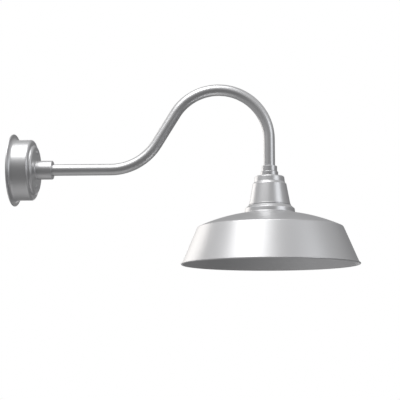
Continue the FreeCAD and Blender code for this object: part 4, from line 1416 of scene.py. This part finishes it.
@dataclass
class Shade(Assembly):
    """The spun bell and the three screws that hold it."""

    wall: float = 1.2
    crown: float = -92.4
    hole: float = 28.0
    dome: float = 345.0
    apex: float = -88.66
    knee: float = 5.0
    knee_wide: float = 145.6
    knee_height: float = -120.95
    radius: float = 177.78
    rim: float = -193.4
    roll: float = 1.58
    sides: int = 224

    def sides_of_sheet(self) -> tuple[list[Point], list[Point]]:
        """Corners of the sheet's outer and inner faces, from the crown's flat to the rim.

        Returns:
            The outer and the inner corners: dome's start, knee's start, knee's end, rim.
        """
        dome_z = self.apex - self.dome
        corner = Vector((self.knee_wide, self.knee_height))
        rim = Vector((self.radius - self.roll - 0.3, self.rim))
        down = (rim - corner).normalized()
        out = Vector((-down.y, down.x))
        start = corner - out * self.knee - Vector((0.0, dome_z))
        half = start.dot(down)
        reach = self.dome - self.knee
        along = -half - math.sqrt(half**2 - start.length_squared + reach**2)
        centre = corner - out * self.knee + down * along
        spoke = (centre - Vector((0.0, dome_z))).normalized()

        def face(inset: float) -> list[Point]:
            """The corners of the face that lies inset from the outer one.

            Args:
                inset: How far it lies inside the outer face.

            Returns:
                The corners.
            """
            drop = self.crown - inset - dome_z
            wide = math.sqrt((self.dome - inset) ** 2 - drop**2)
            return [
                (wide, self.crown - inset),
                tuple(centre + spoke * (self.knee - inset)),
                tuple(centre + out * (self.knee - inset)),
                tuple(rim - out * inset),
            ]

        return face(0.0), face(self.wall)

    def bell(self) -> bpy.types.Object:
        """The bell with its rolled rim, in one closed section.

        Returns:
            The bell.
        """
        outer, inner = self.sides_of_sheet()
        middle = Vector((self.radius - self.roll, self.rim))
        down = (Vector(outer[3]) - Vector(outer[2])).normalized()

        def meet(spot: Point) -> Point:
            """Where the sheet's face through a spot runs into the roll.

            Args:
                spot: A point of the face.

            Returns:
                The corner of the section.
            """
            nearest = Vector(spot) + down * (middle - Vector(spot)).dot(down)
            rise = math.sqrt(self.roll**2 - (nearest - middle).length_squared)
            return tuple(nearest - down * rise)

        rim_in, rim_out = meet(inner[3]), meet(outer[3])
        return turned(
            "shade_bell",
            [
                (self.hole, self.crown),
                (*outer[0], -self.dome),
                (*outer[1], -self.knee),
                outer[2],
                (*rim_out, -self.roll, 1),
                rim_in,
                (*inner[2], self.knee - self.wall),
                (*inner[1], self.dome - self.wall),
                inner[0],
                (self.hole, self.crown - self.wall),
            ],
            Axis.DROP,
            self.sides,
        )

    def screws(self, finish: bpy.types.Material) -> bpy.types.Object:
        """Three pan-head screws up through the crown.

        Args:
            finish: The screws' material.

        Returns:
            The screws as one plain mesh.
        """
        ring = Screws(
            shank=2.0, head=4.0, height=2.4, reach=10.0, circle=34.0, count=3,
            start=math.radians(-90.0), recess=Recess.HEX, recess_size=(0.0, 5.2, 1.4),
        )
        centre = Vector((SHADE_AXIS, 0.0, self.crown - self.wall))
        return ring.build("crown_screws", centre, (math.pi, 0.0, 0.0), finish)

    def pieces(self, wardrobe: Wardrobe) -> Pieces:
        """The bell and its three screws.

        Args:
            wardrobe: Where the finishes come from.

        Returns:
            Each piece with its finish and its solid.
        """
        yield self.bell(), "satin_silver" + VARIANT, "shade"
        yield self.screws(wardrobe.material("steel_screws")), "steel_screws", "shade_screws"


@dataclass
class Lamp(Assembly):
    """The screw-in lamp: its threaded cap and its opal globe."""

    body = "lamp"

    crest: float = 13.1
    thread_depth: float = 0.9
    thread_fade: float = 1.5
    cap_top: float = -54.2
    cap_foot: float = -75.0
    cap_bore: float = 11.7
    cap_neck: float = 12.0
    pitch: float = 3.63
    globe: float = 30.0
    middle: float = -127.0
    seat: float = -112.0
    seat_radius: float = 15.0
    wall: float = 1.4
    sides: int = 96

    def cap(self) -> bpy.types.Object:
        """The cap, with a rolled thread that climbs as a real one does.

        Returns:
            The cap.
        """
        lead_in, lead_out = self.cap_top - 0.8, self.cap_foot + 4.0
        steps = 84
        heights = [self.cap_top, self.cap_top - 0.3]
        heights += [lead_in + (lead_out - lead_in) * step / steps for step in range(steps + 1)]
        heights += [self.cap_foot + 3.0, self.cap_foot + 0.3, self.cap_foot]
        angles = [math.tau * side / self.sides for side in range(self.sides)]
        bm = bmesh.new()
        rings: Rings = [
            [
                bm.verts.new(Axis.DROP.place(
                    self._thread(height, angle, lead_in, lead_out), height, angle
                ))
                for angle in angles
            ]
            for height in heights
        ]
        rings += [
            [bm.verts.new(Axis.DROP.place(self.cap_bore, height, angle)) for angle in angles]
            for height in (self.cap_foot, self.cap_top)
        ]
        return joined("lamp_threaded_cap", bm, rings, 40.0)

    def _thread(self, height: float, angle: float, first: float, last: float) -> float:
        """Radius of the thread, which runs from a first to a last height.

        Args:
            height: The height on the axis.
            angle: The turn about the axis.
            first: Where the thread starts.
            last: Where it ends.

        Returns:
            The radius in millimetres.
        """
        if height > first:
            return self.cap_neck
        if height < last:
            return self.crest
        wave = 0.5 - 0.5 * math.cos(math.tau * (height / self.pitch) - angle)
        start = min(1.0, (first - height) / self.thread_fade)
        fade = min(start, (height - last) / self.thread_fade)
        deep = self.crest - self.thread_depth * wave * fade
        return self.cap_neck + (deep - self.cap_neck) * start

    def diffuser(self) -> bpy.types.Object:
        """The opal globe, closed at its mouth by its own wall.

        Returns:
            The globe.
        """
        inner = self.globe - self.wall
        rim = math.sqrt(self.globe**2 - self.seat_radius**2)
        inner_rim = math.sqrt(inner**2 - self.seat_radius**2)
        return turned(
            "lamp_diffuser",
            [
                (inner_rim, self.seat), (rim, self.seat, -self.globe),
                (self.globe, self.middle, -self.globe), (0.0, self.middle - self.globe),
                (0.0, self.middle - inner, inner), (inner, self.middle, inner),
            ],
            Axis.DROP,
            self.sides,
        )

    def pieces(self, wardrobe: Wardrobe) -> Pieces:
        """The globe and the cap.

        Args:
            wardrobe: Not used.

        Returns:
            Each piece with its finish and its solid.
        """
        yield self.diffuser(), "opal_diffuser", "lamp_globe"
        yield self.cap(), "nickel_cap", "lamp_cap"


# ------------------------------------------------------------------ studio


@dataclass(frozen=True)
class Softbox:
    """A large soft lamp that faces the light from a direction."""

    name: str
    across: float
    up: float
    distance: float
    width: float
    height: float
    glow: float
    colour: Colour

    def hang(self, middle: Vector) -> None:
        """Hangs the lamp.

        Args:
            middle: The place that it faces, in metres.
        """
        across, up = math.radians(self.across), math.radians(self.up)
        away = Vector((
            math.sin(across) * math.cos(up), -math.cos(across) * math.cos(up), math.sin(up),
        ))
        data = bpy.data.lights.new(self.name, "AREA")
        data.shape = "RECTANGLE"
        data.size, data.size_y = self.width, self.height
        data.energy = self.glow * math.pi * self.width * self.height
        data.color = self.colour
        lamp = bpy.data.objects.new(self.name, data)
        lamp.location = middle + away * self.distance
        lamp.rotation_euler = away.to_track_quat("Z", "Y").to_euler()
        bpy.context.scene.collection.objects.link(lamp)


@dataclass
class Studio:
    """Pale floor, graded room, three softboxes and the camera.

    The room's grey is room_low all round, with room_high added overhead (less room_shade of
    it behind), room_behind behind and room_left on the left.
    """

    middle: tuple[float, float, float] = (0.30, 0.0, -0.05)
    floor_height: float = -1.5
    floor_radius: float = 1.7
    room_low: float = 0.17
    room_behind: float = 0.04
    room_high: float = 0.38
    room_left: float = 0.18
    room_shade: float = 0.55
    backdrop: tuple[float, float] = (0.93, 0.975)
    backdrop_lean: float = 0.12
    camera_place: tuple[float, float, float] = (0.4806, -1.8789, -0.3315)
    camera_pitch: float = 98.10
    camera_yaw: float = 3.06
    lens: float = 85.0
    boxes: tuple[Softbox, ...] = field(default_factory=lambda: (
        Softbox("overhead_box", -32.0, 64.0, 2.4, 1.9, 2.1, 1.95, (1.0, 1.0, 1.0)),
        Softbox("left_box", -135.0, 16.0, 2.6, 2.1, 1.6, 1.2, (1.0, 0.965, 0.93)),
        Softbox("right_box", 57.0, 14.0, 2.8, 1.5, 1.8, 1.15, (0.94, 0.965, 1.0)),
    ))

    def hang_lamps(self) -> None:
        """Hangs the softboxes."""
        for box in self.boxes:
            box.hang(Vector(self.middle))

    def light_world(self) -> None:
        """A dim graded room with a white backdrop behind, and white to the camera."""
        world = bpy.data.worlds.new("room")
        bpy.context.scene.world = world
        world.use_nodes = True
        tree = Tree(world.node_tree)
        way = tree.node("ShaderNodeTexCoord", output="Generated")
        right, depth, height = (
            tree.node("ShaderNodeSeparateXYZ", {}, {0: way}, output=part) for part in range(3)
        )
        level = (
            tree.rise(height, 0.0, 0.75) * self.room_high
            * (1.0 - tree.rise(depth, 0.3, 0.9) * self.room_shade)
            + tree.rise(depth, -0.2, 0.8) * self.room_behind
            + tree.rise(right * -1.0, 0.1, 0.95) * self.room_left
            + self.room_low
        )
        grey = tree.node("ShaderNodeCombineColor", {}, {0: level, 1: level, 2: level * 1.01})
        white = rgba((1.0, 1.0, 1.0))
        toward = depth - right * self.backdrop_lean - height * height
        room = tree.blend(tree.rise(toward, *self.backdrop), grey, white)
        seen = tree.node("ShaderNodeLightPath", output="Is Camera Ray")
        colour = tree.blend(seen, room, white)
        glow = tree.node("ShaderNodeBackground", {}, {"Color": colour, "Strength": 1.0})
        tree.node("ShaderNodeOutputWorld", {}, {"Surface": glow})

    def lay_floor(self) -> None:
        """A pale round floor whose edge fades out."""
        bm = bmesh.new()
        rings, sides = 24, 96
        middle = Vector((self.middle[0], self.middle[1], self.floor_height))
        grid = []
        for ring in range(rings + 1):
            reach = self.floor_radius * ring / rings
            grid.append([
                bm.verts.new(middle + Vector((
                    reach * math.cos(math.tau * side / sides),
                    reach * math.sin(math.tau * side / sides), 0.0,
                )))
                for side in range(1 if ring == 0 else sides)
            ])
        for ring, following in zip(grid, grid[1:]):
            for side in range(sides):
                after = (side + 1) % sides
                spots = [ring[side % len(ring)], following[side], following[after],
                         ring[after % len(ring)]]
                bm.faces.new(dict.fromkeys(spots))
        mesh = bpy.data.meshes.new("floor")
        bm.to_mesh(mesh)
        bm.free()
        floor = bpy.data.objects.new("floor", mesh)
        bpy.context.scene.collection.objects.link(floor)
        paint = Paint("pale_floor")
        away = paint.node(
            "ShaderNodeVectorMath", {"operation": "DISTANCE"},
            {0: paint.place, 1: tuple(middle)}, output=1,
        )
        fade = paint.rise(away, self.floor_radius * 0.2, self.floor_radius)
        cloud = paint.noise(350.0, 3.0)
        tone = paint.blend(cloud, rgba((0.6, 0.6, 0.6)), rgba((0.63, 0.63, 0.63)))
        shader = paint.node(
            "ShaderNodeBsdfPrincipled", {}, {"Base Color": tone, "Roughness": 0.8}
        )
        clear = paint.node("ShaderNodeBsdfTransparent")
        mixed = paint.node("ShaderNodeMixShader", {}, {0: fade, 1: shader, 2: clear})
        paint.node("ShaderNodeOutputMaterial", {}, {"Surface": mixed})
        mesh.materials.append(paint.material)

    def set_camera(self) -> None:
        """Puts the camera at the photograph's viewing angle."""
        data = bpy.data.cameras.new("camera")
        data.lens = self.lens
        data.sensor_width = 36.0
        camera = bpy.data.objects.new("camera", data)
        camera.location = self.camera_place
        camera.rotation_euler = (math.radians(self.camera_pitch), 0.0, math.radians(self.camera_yaw))
        bpy.context.scene.collection.objects.link(camera)
        bpy.context.scene.camera = camera

    def build(self) -> None:
        """Sets up everything around the object."""
        bpy.context.scene.view_settings.view_transform = "Standard"
        self.set_camera()
        self.light_world()
        self.hang_lamps()
        self.lay_floor()
        LOG.info("studio: camera, world, floor and %d lamps", len(self.boxes))


# ------------------------------------------------------------------ scene


def main() -> None:
    """Loads the solids, dresses them and sets up the studio."""
    logging.basicConfig(level=logging.INFO, format="%(name)s: %(message)s")
    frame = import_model()
    wardrobe = Wardrobe()
    Studio().build()
    wardrobe.dress_solids(frame)
    for assembly in (Canopy(), Gooseneck(), Neck(), Shade(), Lamp()):
        assembly.dress(wardrobe)
        LOG.info("%s is in place", type(assembly).__name__)


if __name__ == "__main__":
    main()
